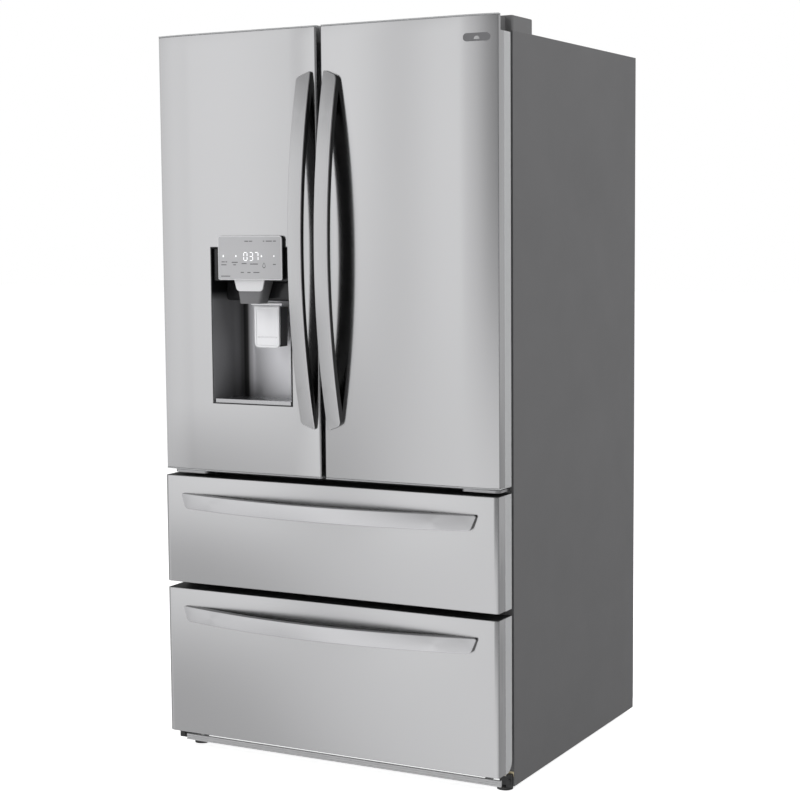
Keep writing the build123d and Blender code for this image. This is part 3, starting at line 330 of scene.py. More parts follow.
plainLook = {
    "colour": (0.5, 0.5, 0.5), "shade": 0.9,      # shade: how dark the grain's troughs go
    "rough": 0.45, "roughSpread": 0.08, "metal": 0.0,
    "stretch": (350, 350, 350), "clouding": 6.0, "bump": 0.05, "bumpDepth": 0.0004,
    "wear": 0.0, "wearWidth": 0.0012, "wearColour": (0.6, 0.6, 0.6), "dust": 0.0,
    "sockets": {}, "tangent": None,
}
dustColour = (0.42, 0.41, 0.39)
cloudShare = grainShare = 0.6     # how far each moves the colour
brushedAcross = (3.0, 3.0, 1400.0)
brushedUp = (1400.0, 1400.0, 3.0)
fineMould = (900, 900, 900)
looks = {
    "case_paint": {"colour": (0.09, 0.09, 0.092), "rough": 0.4, "stretch": (420, 420, 420), "bump": 0.22,
                   "wear": 0.5, "wearColour": (0.3, 0.3, 0.3), "dust": 0.08, "shade": 0.93},
    "galvanised": {"colour": (0.5, 0.51, 0.52), "metal": 0.9, "rough": 0.42, "stretch": (40, 40, 40),
                   "shade": 0.7, "clouding": 14, "wear": 0.4, "dust": 0.25, "bump": 0.03},
    "foam": {"colour": (0.78, 0.68, 0.44), "rough": 0.9, "stretch": (260, 260, 260), "bump": 0.6,
             "shade": 0.75},
    "liner_white": {"colour": (0.82, 0.83, 0.84), "rough": 0.32, "stretch": fineMould, "bump": 0.04,
                    "shade": 0.97, "dust": 0.03, "sockets": {"Coat Weight": 0.15}},
    "dark_plastic": {"colour": (0.11, 0.11, 0.112), "rough": 0.42, "stretch": fineMould, "bump": 0.25,
                     "wear": 0.5, "wearColour": (0.38, 0.38, 0.38), "dust": 0.15},
    "hinge_steel": {"colour": (0.58, 0.58, 0.59), "metal": 1.0, "rough": 0.3, "stretch": brushedAcross,
                    "shade": 0.8, "wear": 0.8, "wearColour": (0.8, 0.8, 0.8), "bump": 0.06},
    "fin_aluminium": {"colour": (0.72, 0.73, 0.75), "metal": 1.0, "rough": 0.36, "stretch": (700, 6, 6),
                      "shade": 0.5, "bump": 0.3},
    "black_paint": {"colour": (0.014, 0.014, 0.015), "rough": 0.38, "stretch": (300, 300, 300), "bump": 0.15,
                    "wear": 0.6, "wearColour": (0.12, 0.12, 0.12), "dust": 0.2},
    "black_rubber": {"colour": (0.012, 0.012, 0.012), "rough": 0.75, "stretch": fineMould, "bump": 0.3,
                     "dust": 0.3},
    "grille_grey": {"colour": (0.55, 0.55, 0.555), "rough": 0.35, "metal": 0.6, "stretch": (6, 6, 900),
                    "bump": 0.1, "wear": 0.6, "shade": 0.85, "dust": 0.2},
    "shelf_glass": {"colour": (0.93, 0.98, 0.96), "rough": 0.03, "roughSpread": 0.03, "stretch": (30, 30, 30),
                    "shade": 1.0, "bump": 0.0, "sockets": {"Transmission Weight": 0.94, "IOR": 1.5}},
    "bracket_white": {"colour": (0.78, 0.79, 0.8), "rough": 0.35, "stretch": fineMould, "bump": 0.08,
                      "wear": 0.3, "wearColour": (0.9, 0.9, 0.9)},
    "light_lens": {"colour": (0.95, 0.96, 0.98), "rough": 0.25, "stretch": (300, 4, 4), "bump": 0.2,
                   "shade": 0.9, "sockets": {"Emission Strength": 0.6, "Emission Color": (1, 0.98, 0.94, 1)}},
    "rail_steel": {"colour": (0.62, 0.62, 0.63), "metal": 1.0, "rough": 0.32, "stretch": (700, 4, 700),
                   "shade": 0.8, "wear": 0.5, "wearColour": (0.85, 0.85, 0.85)},
    "foot_plastic": {"colour": (0.02, 0.02, 0.021), "rough": 0.55, "stretch": fineMould, "bump": 0.3,
                     "wear": 0.6, "wearColour": (0.1, 0.1, 0.1), "dust": 0.3},
    "roller_plastic": {"colour": (0.3, 0.3, 0.3), "rough": 0.5, "stretch": fineMould, "bump": 0.2,
                       "wear": 0.6, "wearColour": (0.45, 0.45, 0.45), "dust": 0.3},
    "clear_plastic": {"colour": (0.93, 0.95, 0.97), "rough": 0.07, "roughSpread": 0.05,
                      "stretch": (60, 60, 60), "shade": 1.0, "bump": 0.02,
                      "sockets": {"Transmission Weight": 0.88, "IOR": 1.46}},
    "stainless": {"colour": (0.66, 0.66, 0.665), "metal": 1.0, "rough": 0.2, "roughSpread": 0.02,
                  "stretch": (2.2, 2.2, 1500.0), "shade": 0.955, "clouding": 2.5, "bump": 0.022,
                  "bumpDepth": 0.0001, "wear": 0.3, "wearWidth": 0.0012, "wearColour": (0.82, 0.82, 0.83),
                  "sockets": {"Anisotropic": 0.8}, "tangent": "X"},
    "door_liner": {"colour": (0.36, 0.365, 0.37), "rough": 0.38, "stretch": fineMould, "bump": 0.1,
                   "wear": 0.3, "wearColour": (0.5, 0.5, 0.5)},
    "cap_grey": {"colour": (0.33, 0.335, 0.34), "rough": 0.4, "stretch": fineMould, "bump": 0.15,
                 "wear": 0.5, "wearColour": (0.5, 0.5, 0.5), "dust": 0.1},
    "gasket_grey": {"colour": (0.13, 0.13, 0.135), "rough": 0.6, "stretch": (120, 120, 120), "bump": 0.15,
                    "dust": 0.1},
    "handle_steel": {"colour": (0.66, 0.66, 0.665), "metal": 1.0, "rough": 0.25, "roughSpread": 0.04,
                     "stretch": (1300.0, 1300.0, 3.0), "shade": 0.88, "bump": 0.05, "bumpDepth": 0.0002,
                     "wear": 0.3, "wearColour": (0.8, 0.8, 0.8),
                     "sockets": {"Anisotropic": 0.6}, "tangent": "Z"},
    "niche_dark": {"colour": (0.012, 0.012, 0.013), "rough": 0.22, "stretch": fineMould, "bump": 0.05,
                   "wear": 0.2, "wearColour": (0.08, 0.08, 0.08)},
    "panel_silver": {"colour": (0.47, 0.47, 0.48), "metal": 0.35, "rough": 0.34, "stretch": brushedAcross,
                     "shade": 0.92, "bump": 0.05, "wear": 0.5, "wearColour": (0.75, 0.75, 0.76)},
    "tray_grey": {"colour": (0.6, 0.6, 0.61), "metal": 1.0, "rough": 0.25, "stretch": fineMould, "bump": 0.15,
                  "wear": 0.3, "wearColour": (0.8, 0.8, 0.8)},
    "paddle_silver": {"colour": (0.83, 0.83, 0.85), "rough": 0.18, "stretch": (60, 60, 60), "bump": 0.02,
                      "shade": 0.97, "wear": 0.3, "wearColour": (0.95, 0.95, 0.95),
                      "sockets": {"Coat Weight": 0.5}},
    "basket_white": {"colour": (0.74, 0.75, 0.76), "rough": 0.38, "stretch": fineMould, "bump": 0.12,
                     "wear": 0.4, "wearColour": (0.88, 0.88, 0.88), "dust": 0.05},
}
extraLooks = {
    # lighter copy of the handle steel for the rounded edges: a painted highlight
    "handleEdgePaintedHighlight": {"colour": (0.8, 0.8, 0.81), "metal": 1.0, "rough": 0.3, "stretch": brushedUp,
                   "shade": 0.92},
    # near-black copy of the handle steel for the sides and back: painted shade
    "handleBackPaintedShade": {"colour": (0.006, 0.006, 0.0065), "rough": 0.24, "stretch": brushedUp, "bump": 0.1,
                   "wear": 0.25, "wearColour": (0.12, 0.12, 0.12)},
    "drawerHandle": {"colour": (0.8, 0.8, 0.81), "metal": 1.0, "rough": 0.3, "roughSpread": 0.04,
                     "stretch": (3.0, 1300.0, 1300.0), "shade": 0.93, "bump": 0.05, "bumpDepth": 0.0002,
                     "sockets": {"Anisotropic": 0.5}, "tangent": "X"},
    "whiteLegend": {"colour": (0.95, 0.96, 0.98), "rough": 0.5, "bump": 0.02,
                    "sockets": {"Emission Strength": 0.35, "Emission Color": (1, 1, 1, 1)}},
    "darkLegend": {"colour": (0.13, 0.13, 0.135), "rough": 0.5, "bump": 0.05},
    "panelFrame": {"colour": (0.72, 0.72, 0.73), "metal": 0.5, "rough": 0.3, "stretch": brushedAcross,
                   "shade": 0.95},
    "spoutGrey": {"colour": (0.16, 0.16, 0.165), "rough": 0.42, "stretch": (700, 700, 700), "bump": 0.6,
                  "shade": 0.7},
    "nicheBright": {"colour": (0.62, 0.62, 0.635), "metal": 0.35, "rough": 0.36, "stretch": (900, 900, 3),
                    "shade": 0.95, "bump": 0.06},
    "trimWhite": {"colour": (0.88, 0.88, 0.89), "rough": 0.3, "stretch": fineMould, "bump": 0.03},
    # near-black finish for the tops of the drawer bodies: painted shade in the gaps
    "drawerTopPaintedShade": {"colour": (0.01, 0.01, 0.0105), "rough": 0.5, "stretch": fineMould, "bump": 0.15,
                  "wear": 0.3, "wearColour": (0.06, 0.06, 0.06)},
    "screwSteel": {"colour": (0.5, 0.5, 0.5), "metal": 1.0, "rough": 0.34, "stretch": (300, 300, 300),
                   "shade": 0.7, "wear": 0.9, "wearColour": (0.8, 0.8, 0.8)},
}


def makeFinish(name, wanted):
    look = {**plainLook, **wanted}
    finish = bpy.data.materials.new(name)
    finish.use_nodes = True
    tree = finish.node_tree
    shader, link = tree.nodes["Principled BSDF"], tree.links.new
    grain = tree.nodes.new("ShaderNodeGroup")
    grain.node_tree = grainGroup
    grain.inputs["Stretch"].default_value = look["stretch"]
    grain.inputs["Clouding"].default_value = look["clouding"]
    shades = tree.nodes.new("ShaderNodeMix")
    shades.data_type = "RGBA"
    shades.inputs["A"].default_value = (*(part * look["shade"] for part in look["colour"]), 1)
    shades.inputs["B"].default_value = (*look["colour"], 1)
    blended = mathStep(tree, "ADD", mathStep(tree, "MULTIPLY", grain.outputs["Grain"], grainShare),
                       mathStep(tree, "MULTIPLY", grain.outputs["Cloud"], cloudShare), True)
    link(blended, shades.inputs["Factor"])
    colour = shades.outputs["Result"]
    for key, group, rubbed in (("wear", wearGroup, look["wearColour"]), ("dust", dustGroup, dustColour)):
        if not look[key]:
            continue
        mask = tree.nodes.new("ShaderNodeGroup")
        mask.node_tree = group
        mask.inputs["Amount"].default_value = look[key]
        if key == "wear":
            mask.inputs["Width"].default_value = look["wearWidth"]
        over = tree.nodes.new("ShaderNodeMix")
        over.data_type = "RGBA"
        over.inputs["B"].default_value = (*rubbed, 1)
        link(mask.outputs["Mask"], over.inputs["Factor"])
        link(colour, over.inputs["A"])
        colour = over.outputs["Result"]
    link(colour, shader.inputs["Base Color"])
    roughness = tree.nodes.new("ShaderNodeMapRange")
    roughness.inputs["To Min"].default_value = max(0.0, look["rough"] - look["roughSpread"])
    roughness.inputs["To Max"].default_value = look["rough"] + look["roughSpread"]
    link(grain.outputs["Cloud"], roughness.inputs["Value"])
    link(roughness.outputs[0], shader.inputs["Roughness"])
    shader.inputs["Metallic"].default_value = look["metal"]
    if look["bump"]:
        bump = tree.nodes.new("ShaderNodeBump")
        bump.inputs["Strength"].default_value = look["bump"]
        bump.inputs["Distance"].default_value = look["bumpDepth"]
        link(grain.outputs["Grain"], bump.inputs["Height"])
        link(bump.outputs["Normal"], shader.inputs["Normal"])
    if look["tangent"]:
        tangent = tree.nodes.new("ShaderNodeTangent")
        tangent.direction_type, tangent.axis = "RADIAL", look["tangent"]
        link(tangent.outputs[0], shader.inputs["Tangent"])
    for socket, value in look["sockets"].items():
        shader.inputs[socket].default_value = value
    return finish


finishes = {name: makeFinish(name, look) for name, look in {**looks, **extraLooks}.items()}
for part in frame["record"]["subparts"]:
    slots = nodes[part["node"]].data.materials
    slots.clear()
    slots.append(finishes[part["material_slot"]])
print("finishes made and put on the CAD nodes:", len(finishes))

# ---- mesh helpers


def addPiece(name, mesh, body, slotName, replaced=(), finishNames=()):
    for finishName in finishNames or (slotName,):
        mesh.materials.append(finishes[finishName])
    piece = bpy.data.objects.new(name, mesh)
    bpy.context.scene.collection.objects.link(piece)
    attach(piece, body)
    if replaced:
        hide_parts(*replaced)
    return piece


def smoothByAngle(mesh, degrees=32):
    mesh.shade_smooth()
    work = bmesh.new()
    work.from_mesh(mesh)
    for edge in work.edges:
        edge.smooth = len(edge.link_faces) == 2 and edge.calc_face_angle(0) < math.radians(degrees)
    work.to_mesh(mesh)
    work.free()


def meshFrom(name, work):
    bmesh.ops.recalc_face_normals(work, faces=work.faces)
    mesh = bpy.data.meshes.new(name)
    work.to_mesh(mesh)
    work.free()
    return mesh


def roundBox(work, low, high, radius, steps=2, finishIndex=0):    # block with every edge rounded
    size = Vector(high) - Vector(low)
    place = Matrix.Translation((Vector(low) + Vector(high)) / 2) @ Matrix.Diagonal((*size, 1))
    made = bmesh.ops.create_cube(work, size=1, matrix=place)
    edges = list(dict.fromkeys(edge for vert in made["verts"] for edge in vert.link_edges))
    facets = {facet for vert in made["verts"] for facet in vert.link_faces}
    made = bmesh.ops.bevel(work, geom=edges, offset=radius, segments=steps, affect="EDGES", profile=0.5)
    for facet in {facet for facet in facets if facet.is_valid} | set(made["faces"]):
        facet.material_index = finishIndex


def prism(work, outline, y, finishIndex=0):
    # outline of (x, z) points drawn out between two Y planes
    rings = [[work.verts.new((x, plane, z)) for x, z in outline] for plane in y]
    faces = [work.faces.new(rings[0]), work.faces.new(reversed(rings[1]))]
    count = len(outline)
    for index in range(count):
        after = (index + 1) % count
        faces.append(work.faces.new((rings[0][index], rings[1][index], rings[1][after], rings[0][after])))
    for face in faces:
        face.material_index = finishIndex
    return faces


def bridge(work, rings):
    # walls between rings of equally many points, one list of faces for each band
    count = len(rings[0])
    around = [(index, (index + 1) % count) for index in range(count)]
    return [[work.faces.new((first[here], first[after], second[after], second[here]))
             for here, after in around] for first, second in zip(rings, rings[1:])]


def roundedOutline(corners, radii, steps=6):
    # closed outline of (a, b) points with each corner turned on its own radius
    outline = []
    count = len(corners)
    for index, corner in enumerate(corners):
        here, before, after = Vector(corner), Vector(corners[index - 1]), Vector(corners[(index + 1) % count])
        radius = radii[index]
        if not radius:
            outline.append(tuple(here))
            continue
        back, ahead = (before - here).normalized(), (after - here).normalized()
        half = back.angle(ahead) / 2
        reach = radius / math.tan(half)
        centre = here + (back + ahead).normalized() * (radius / math.sin(half))
        start, stop = here + back * reach - centre, here + ahead * reach - centre
        turn = start.angle_signed(stop)
        for step in range(steps + 1):
            angle = -turn * step / steps
            outline.append((centre.x + start.x * math.cos(angle) - start.y * math.sin(angle),
                            centre.y + start.x * math.sin(angle) + start.y * math.cos(angle)))
    return outline


mm = 0.001
weldGap = 0.01 * mm
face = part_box("left_door_skin")[0].y      # plane of the door fronts

def depth(amount):
    return face + amount * mm


def spread(pair):
    return tuple(value * mm for value in pair)


# ---- door and drawer fronts

frontShape = {
    "edgeRun": 95 * mm, "edgeFall": 9 * mm,      # how a door's hinge side falls back
    "drawerRun": 12 * mm, "drawerFall": 4 * mm,
    "freeCorner": 5 * mm, "rimRound": 1.6 * mm, "rimSag": 0.18, "sheet": 0.96 * mm,
    "flatDepth": 15 * mm, "sideBand": 0.2 * mm, "sideDepth": 2 * mm,   # where front ends and side starts
    "notchFront": 20 * mm, "notchLevel": 1732 * mm,
    "arcSteps": 14, "cornerSteps": 5,
}


def planLine(edges, falls, back):
    # the sheet seen from above, from its left back edge round to its right back edge
    shape, line = frontShape, []
    for end, fall in zip((0, 1), falls):
        sign = 1 if end == 0 else -1
        edge, points = edges[end], []
        if fall:
            run, drop = fall
            radius = (run * run + drop * drop) / (2 * drop)
            corner = shape["rimRound"]
            points.append((edge, face + drop + corner))
            for step in range(1, shape["cornerSteps"]):
                angle = math.pi / 2 * step / shape["cornerSteps"]
                behind = drop + corner * (1 - (1 + shape["rimSag"]) * math.sin(angle))
                points.append((edge + sign * corner * (1 - math.cos(angle)), face + behind))
            for step in range(shape["arcSteps"] + 1):
                away = (run - corner) * (1 - step / shape["arcSteps"])
                behind = radius - math.sqrt(radius ** 2 - away ** 2)
                points.append((edge + sign * (run - away), face + behind))
        else:
            corner = shape["freeCorner"]
            for step in range(2 * shape["cornerSteps"] + 1):
                angle = math.pi / 4 * step / shape["cornerSteps"]
                points.append((edge + sign * corner * (1 - math.cos(angle)),
                               face + corner * (1 - math.sin(angle))))
        points.insert(0, (edge, back))
        line += points if end == 0 else list(reversed(points))
    return line


def frontSkin(name, node, body, falls, hole=None, notch=0):
    low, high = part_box(node)
    shape = frontShape
    line = insertColumns(planLine((low.x, high.x), falls, high.y), hole[0] if hole else ())
    rim = shape["rimRound"]
    steps = shape["cornerSteps"]
    levels = []
    for step in range(steps + 1):
        angle = math.pi / 2 * step / steps
        levels.append((low.z + rim * (1 - math.cos(angle)), rim * (1 - math.sin(angle))))
    inner = sorted((hole[1] if hole else ()) + ((shape["notchLevel"],) if notch else ()))
    middle = [(level, 0.0) for level in inner]
    top = [(high.z - (level - low.z), inset) for level, inset in reversed(levels)]
    rows = levels + middle + top
    work = bmesh.new()
    centreX = (low.x + high.x) / 2
    grid = []
    for z, inset in rows:
        row = []
        for x, y in line:
            atEdge = min(abs(x - low.x), abs(x - high.x)) < shape["sideBand"]
            onSide = atEdge and y > face + shape["sideDepth"]
            shiftX = (inset if x < centreX else -inset) if onSide else 0
            row.append(work.verts.new((x + shiftX, y + (0 if onSide else inset), z)))
        grid.append(row)
    for level in range(len(rows) - 1):
        zMid = (rows[level][0] + rows[level + 1][0]) / 2
        for column in range(len(line) - 1):
            xMid = (line[column][0] + line[column + 1][0]) / 2
            yMid = (line[column][1] + line[column + 1][1]) / 2
            if hole and hole[0][0] < xMid < hole[0][1] and hole[1][0] < zMid < hole[1][1]:
                continue
            behind = yMid > face + shape["notchFront"]
            if notch and behind and zMid > shape["notchLevel"] and xMid * notch > 0:
                continue
            work.faces.new((grid[level][column], grid[level][column + 1],
                            grid[level + 1][column + 1], grid[level + 1][column]))
    bmesh.ops.delete(work, geom=[vert for vert in work.verts if not vert.link_faces], context="VERTS")
    mesh = bpy.data.meshes.new(name)
    work.to_mesh(mesh)
    work.free()
    smoothByAngle(mesh, 40)
    piece = addPiece(name, mesh, body, "stainless", [node])
    thick = piece.modifiers.new("sheet", "SOLIDIFY")
    thick.thickness, thick.offset = shape["sheet"], -1
    return piece


def insertColumns(line, places):
    made = []
    for index, point in enumerate(line):
        made.append(point)
        if index + 1 < len(line):
            after = line[index + 1]
            if abs(point[1] - face) < 1e-6 and abs(after[1] - face) < 1e-6:
                made += [(x, face) for x in sorted(places) if point[0] < x < after[0]]
            elif max(point[1], after[1]) > face + frontShape["flatDepth"]:
                notchY = face + frontShape["notchFront"]
                if min(point[1], after[1]) < notchY < max(point[1], after[1]):
                    made.append((point[0], notchY))
    return made


hingeFall = (frontShape["edgeRun"], frontShape["edgeFall"])
drawerFall = (frontShape["drawerRun"], frontShape["drawerFall"])
houseLow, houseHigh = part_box("dispenser_housing")
holeX = (houseLow.x, houseHigh.x)
holeZ = (houseLow.z, houseHigh.z)
frontSkin("leftDoorSheet", "left_door_skin", "left_door", (hingeFall, None), (holeX, holeZ), -1)
frontSkin("rightDoorSheet", "right_door_skin", "right_door", (None, hingeFall), None, 1)
for hand in ("upper", "lower"):
    frontSkin(f"{hand}DrawerSheet", f"{hand}_drawer_skin", f"{hand}_drawer", (drawerFall, drawerFall))
print("door and drawer sheets made")

# ---- handles


def recoat(name, node, body, slotName, finishNames, choose, smooth=30, dissolve=False):
    # copy of a CAD node whose facets take their finish from choose(normal, place)
    work = bmesh.new()
    work.from_mesh(nodes[node].data)
    bmesh.ops.remove_doubles(work, verts=work.verts, dist=weldGap)
    if dissolve:
        bmesh.ops.dissolve_degenerate(work, edges=work.edges, dist=weldGap)
    for facet in work.faces:
        facet.material_index = choose(facet.normal, facet.calc_center_median())
    mesh = bpy.data.meshes.new(name)
    work.to_mesh(mesh)
    work.free()
    smoothByAngle(mesh, smooth)
    return addPiece(name, mesh, body, slotName, [node], finishNames)


def handleSide(normal, place):    # front band, its rounded edges with a painted highlight, then the sides and back in painted shade
    return 0 if normal.y < -0.93 else 1 if normal.y < -0.08 else 2


for hand, frontFinish in (("left_door", "handle_steel"), ("right_door", "handle_steel"),
                          ("upper_drawer", "drawerHandle"), ("lower_drawer", "drawerHandle")):
    recoat(f"{hand}Bar".replace("_", ""), f"{hand}_handle", hand, "handle_steel",
           (frontFinish, "handleEdgePaintedHighlight", "handleBackPaintedShade"), handleSide, dissolve=True)
print("handles made")

# ---- drawer bodies with painted shade on top, badge and shelf trims

for hand in ("upper", "lower"):
    # the upward faces of each drawer body are painted near-black as shade in the gaps between the fronts
    recoat(f"{hand}DrawerBody", f"{hand}_drawer_liner", f"{hand}_drawer", "door_liner",
           ("door_liner", "drawerTopPaintedShade"), lambda normal, place: int(normal.z > 0.5))

badge = {"x": (372, 436), "z": (1709, 1727), "proud": 0.9, "sunk": 0.6, "round": 8.9}


def makeBadge():
    x, z = badge["x"], badge["z"]
    corners = ((x[0], z[0]), (x[0], z[1]), (x[1], z[1]), (x[1], z[0]))
    outline = roundedOutline([spread(corner) for corner in corners], [badge["round"] * mm] * 4, 8)
    work = bmesh.new()
    run, drop = frontShape["edgeRun"], frontShape["edgeFall"]
    radius = (run * run + drop * drop) / (2 * drop)
    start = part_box("right_door_skin")[1].x - run
    prism(work, outline, (-badge["proud"] * mm, badge["sunk"] * mm))
    for vert in work.verts:    # laid on the curved part of the door
        away = max(0.0, vert.co.x - start)
        vert.co.y += face + radius - math.sqrt(radius ** 2 - away ** 2)
    addPiece("badge", meshFrom("badge", work), "right_door", "stainless", (), ("darkLegend",))


trims = {"shelfLevels": (1240, 1460), "lowLevels": (863, 1029), "front": (-2.5, 7),
         "glass": 5, "lap": 2.2, "lowLap": 0.4, "round": 1.2, "side": 396, "middle": 3}


def makeTrims():
    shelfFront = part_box("glass_shelves")[0].y
    y = tuple(shelfFront + value * mm for value in trims["front"])
    above = trims["glass"] + trims["lap"]
    blocks = []
    for level in trims["shelfLevels"]:
        for side in (-1, 1):
            x = sorted((side * trims["middle"] * mm, side * trims["side"] * mm))
            blocks.append(((x[0], y[0], (level - trims["lap"]) * mm), (x[1], y[1], (level + above) * mm)))
    for level in trims["lowLevels"]:
        blocks.append(((-trims["side"] * mm, y[0], (level - trims["lowLap"]) * mm),
                       (trims["side"] * mm, y[1], (level + above) * mm)))
    work = bmesh.new()
    for low, high in blocks:
        roundBox(work, low, high, trims["round"] * mm)
    mesh = meshFrom("shelfTrims", work)
    smoothByAngle(mesh)
    addPiece("shelfTrims", mesh, "cabinet", "bracket_white", (), ("trimWhite",))


makeBadge()
makeTrims()
print("drawer bodies, badge and shelf trims made")

# ---- water and ice dispenser

dispenser = {
    # tones across the niche walls by x, charcoal left wall, black curved corner, bright back wall: painted
    # reflection and painted shade
    "wallPaintedReflection": ((-306, 0.2), (-301, 0.19), (-295, 0.1), (-291, 0.012),
                  (-286, 0.03), (-279, 0.6), (-270, 1)),
    "wallBlue": 1.02, "wallLift": 0.36,
    "paintedShadowAbove": (1132, 1152), "shadow": (0.008, 0.008, 0.009),    # painted shadow: the walls are painted black under the head
    "hood": ((-303, -86), (54, 127), (1129, 1180), 9),      # depths run back from the door's face
    "head": ((-303, -86), (5, 90), (1178, 1256), 2),
    "spoutTop": ((-240, -157), (4, 49), 1179), "spoutFoot": ((-231, -172), (4, 44), 1124),
    "spoutRibs": 9, "ribDepth": 0.35, "spoutRound": 9,
    "lipInset": 0.06, "lipCentre": -200, "lipBack": 2.6, "wellDepth": 24,
    "label": ((-241, 1181), (-156, 1181), (-163, 1154), (-234, 1154)), "labelRound": 11,
    "panel": ((-280, -99.5), (1181, 1286)), "panelRound": (5, 5, 8, 5), "panelProud": 10,
    "frameWidth": 2.2, "frameStep": 0.6,
}


def makeDispenserWall():
    wall = makeFinish("dispenserWall", extraLooks["nicheBright"])
    tree = wall.node_tree
    shader = tree.nodes["Principled BSDF"]
    coords, split = tree.nodes.new("ShaderNodeTexCoord"), tree.nodes.new("ShaderNodeSeparateXYZ")
    tree.links.new(coords.outputs["Object"], split.inputs[0])
    # the ramp across x paints the walls' reflection and shade into their colour
    tones = dispenser["wallPaintedReflection"]
    across, ramp = tree.nodes.new("ShaderNodeMapRange"), tree.nodes.new("ShaderNodeValToRGB")
    across.inputs["From Min"].default_value = tones[0][0] * mm
    across.inputs["From Max"].default_value = tones[-1][0] * mm
    ramp.color_ramp.interpolation = "EASE"
    setStops(ramp, [((x - tones[0][0]) / (tones[-1][0] - tones[0][0]),
                     (tone, tone, tone * dispenser["wallBlue"], 1)) for x, tone in tones])
    tree.links.new(split.outputs["X"], across.inputs["Value"])
    tree.links.new(across.outputs[0], ramp.inputs[0])
    # painted shadow: the wall colour goes black above this band, under the head
    above = tree.nodes.new("ShaderNodeMapRange")
    above.inputs["From Min"].default_value, above.inputs["From Max"].default_value = (
        level * mm for level in dispenser["paintedShadowAbove"])
    tree.links.new(split.outputs["Z"], above.inputs["Value"])
    grained = shader.inputs["Base Color"].links[0].from_socket
    tinted, dark = tree.nodes.new("ShaderNodeMix"), tree.nodes.new("ShaderNodeMix")
    tinted.data_type = dark.data_type = "RGBA"
    tinted.blend_type = "MULTIPLY"
    tinted.inputs["Factor"].default_value = 1
    tree.links.new(ramp.outputs[0], tinted.inputs["A"])
    brighter = tree.nodes.new("ShaderNodeMix")
    brighter.data_type, brighter.blend_type = "RGBA", "ADD"
    brighter.inputs["Factor"].default_value = 1
    brighter.inputs["B"].default_value = (*[dispenser["wallLift"]] * 3, 1)
    tree.links.new(grained, brighter.inputs["A"])
    tree.links.new(brighter.outputs["Result"], tinted.inputs["B"])
    dark.inputs["B"].default_value = (*dispenser["shadow"], 1)
    tree.links.new(above.outputs[0], dark.inputs["Factor"])
    tree.links.new(tinted.outputs["Result"], dark.inputs["A"])
    tree.links.new(dark.outputs["Result"], shader.inputs["Base Color"])
    return wall


finishes["dispenserWall"] = makeDispenserWall()


def nicheSide(normal, place):    # the brushed lining is the left and back walls, not the floor, top, bezel or right wall; the right wall and top take the near-black finish as painted shade
    low, high = holeX[0] + 2 * mm, holeX[1] - 2 * mm
    inside = low < place.x < high and place.y > depth(0.5) and normal.y < 0.5
    return 0 if inside and normal.x > -0.95 and abs(normal.z) < 0.5 else 1


def makeSpout():
    work = bmesh.new()
    for key in ("head", "hood"):
        x, y, z, corner = dispenser[key]
        roundBox(work, (x[0] * mm, depth(y[0]), z[0] * mm), (x[1] * mm, depth(y[1]), z[1] * mm),
                 corner * mm, 5)
    (topX, topY, topZ), (footX, footY, footZ) = dispenser["spoutTop"], dispenser["spoutFoot"]
    rings = []
    ribs = dispenser["spoutRibs"] * 2
    for step in range(ribs + 1):
        share = step / ribs
        pinch = dispenser["ribDepth"] * (step % 2)
        x = [a + (b - a) * share for a, b in zip(topX, footX)]
        y = [a + (b - a) * share for a, b in zip(topY, footY)]
        corners = ((x[0] + pinch, y[0] + pinch), (x[1] - pinch, y[0] + pinch),
                   (x[1] - pinch, y[1]), (x[0] + pinch, y[1]))
        outline = roundedOutline(corners, [dispenser["spoutRound"]] * 4, 5)
        z = (topZ + (footZ - topZ) * share) * mm
        rings.append([work.verts.new((a * mm, depth(b), z)) for a, b in outline])
    inset = dispenser["lipInset"]
    lip = [work.verts.new((vert.co.x * (1 - inset) + dispenser["lipCentre"] * mm * inset,
                           vert.co.y * (1 - inset) + face * inset + dispenser["lipBack"] * mm, vert.co.z))
           for vert in rings[-1]]
    well = [work.verts.new((vert.co.x, vert.co.y, vert.co.z + dispenser["wellDepth"] * mm)) for vert in lip]
    made = [work.faces.new(rings[0]), work.faces.new(well)]
    for facet in made + [facet for band in bridge(work, rings + [lip, well]) for facet in band]:
        facet.material_index = 1
    label = roundedOutline([spread(point) for point in dispenser["label"]],
                           [0, 0, dispenser["labelRound"] * mm, dispenser["labelRound"] * mm])
    prism(work, label, (depth(0.5), depth(4.5)), 2)
    mesh = meshFrom("spout", work)
    smoothByAngle(mesh)
    addPiece("dispenserSpout", mesh, "left_door", "niche_dark", ["ice_chute"],
             ("niche_dark", "spoutGrey", "panelFrame"))


segmentsOf = {"0": "abcdef", "3": "abcdg", "7": "abc"}
segmentPlaces = {"a": (0, 1, 1), "b": (0.5, 0.5, 0), "c": (0.5, -0.5, 0), "d": (0, -1, 1),
                 "e": (-0.5, -0.5, 0), "f": (-0.5, 0.5, 0), "g": (0, 0, 1)}
panelMarks = {
    "digits": (("0", -208), ("3", -192), ("7", -177)), "digitLevel": 1237,
    "digitSize": (9.5, 19), "stroke": 1.9, "corner": 0.5, "dashCorner": 0.4,
    "lights": ((-271, 1.9), (-235, 1.7), (-163, 1.9), (-128, 1.5)), "lightLevel": 1238,
    "lightTall": 1.4, "lightSides": 14, "dropSides": 24, "dropWall": 0.72, "dropTall": 1.2,
    "dashes": (   # left end, level, length
        (-276, 1223, 9), (-265, 1223, 5), (-277, 1216, 15), (-247, 1222, 17), (-243, 1216, 8),
        (-219, 1219, 14), (-195, 1218, 22), (-131, 1217, 8), (-222, 1198, 9), (-203, 1198, 9),
        (-186, 1198, 17), (-210, 1272, 11), (-197, 1272, 9), (-158, 1272, 4), (-150, 1272, 17),
        (-130, 1272, 8)),
    "dashHeight": 2.2, "drop": (-156, 1216, 5.6), "line": (-278, 1189, 26), "shift": 6,
}


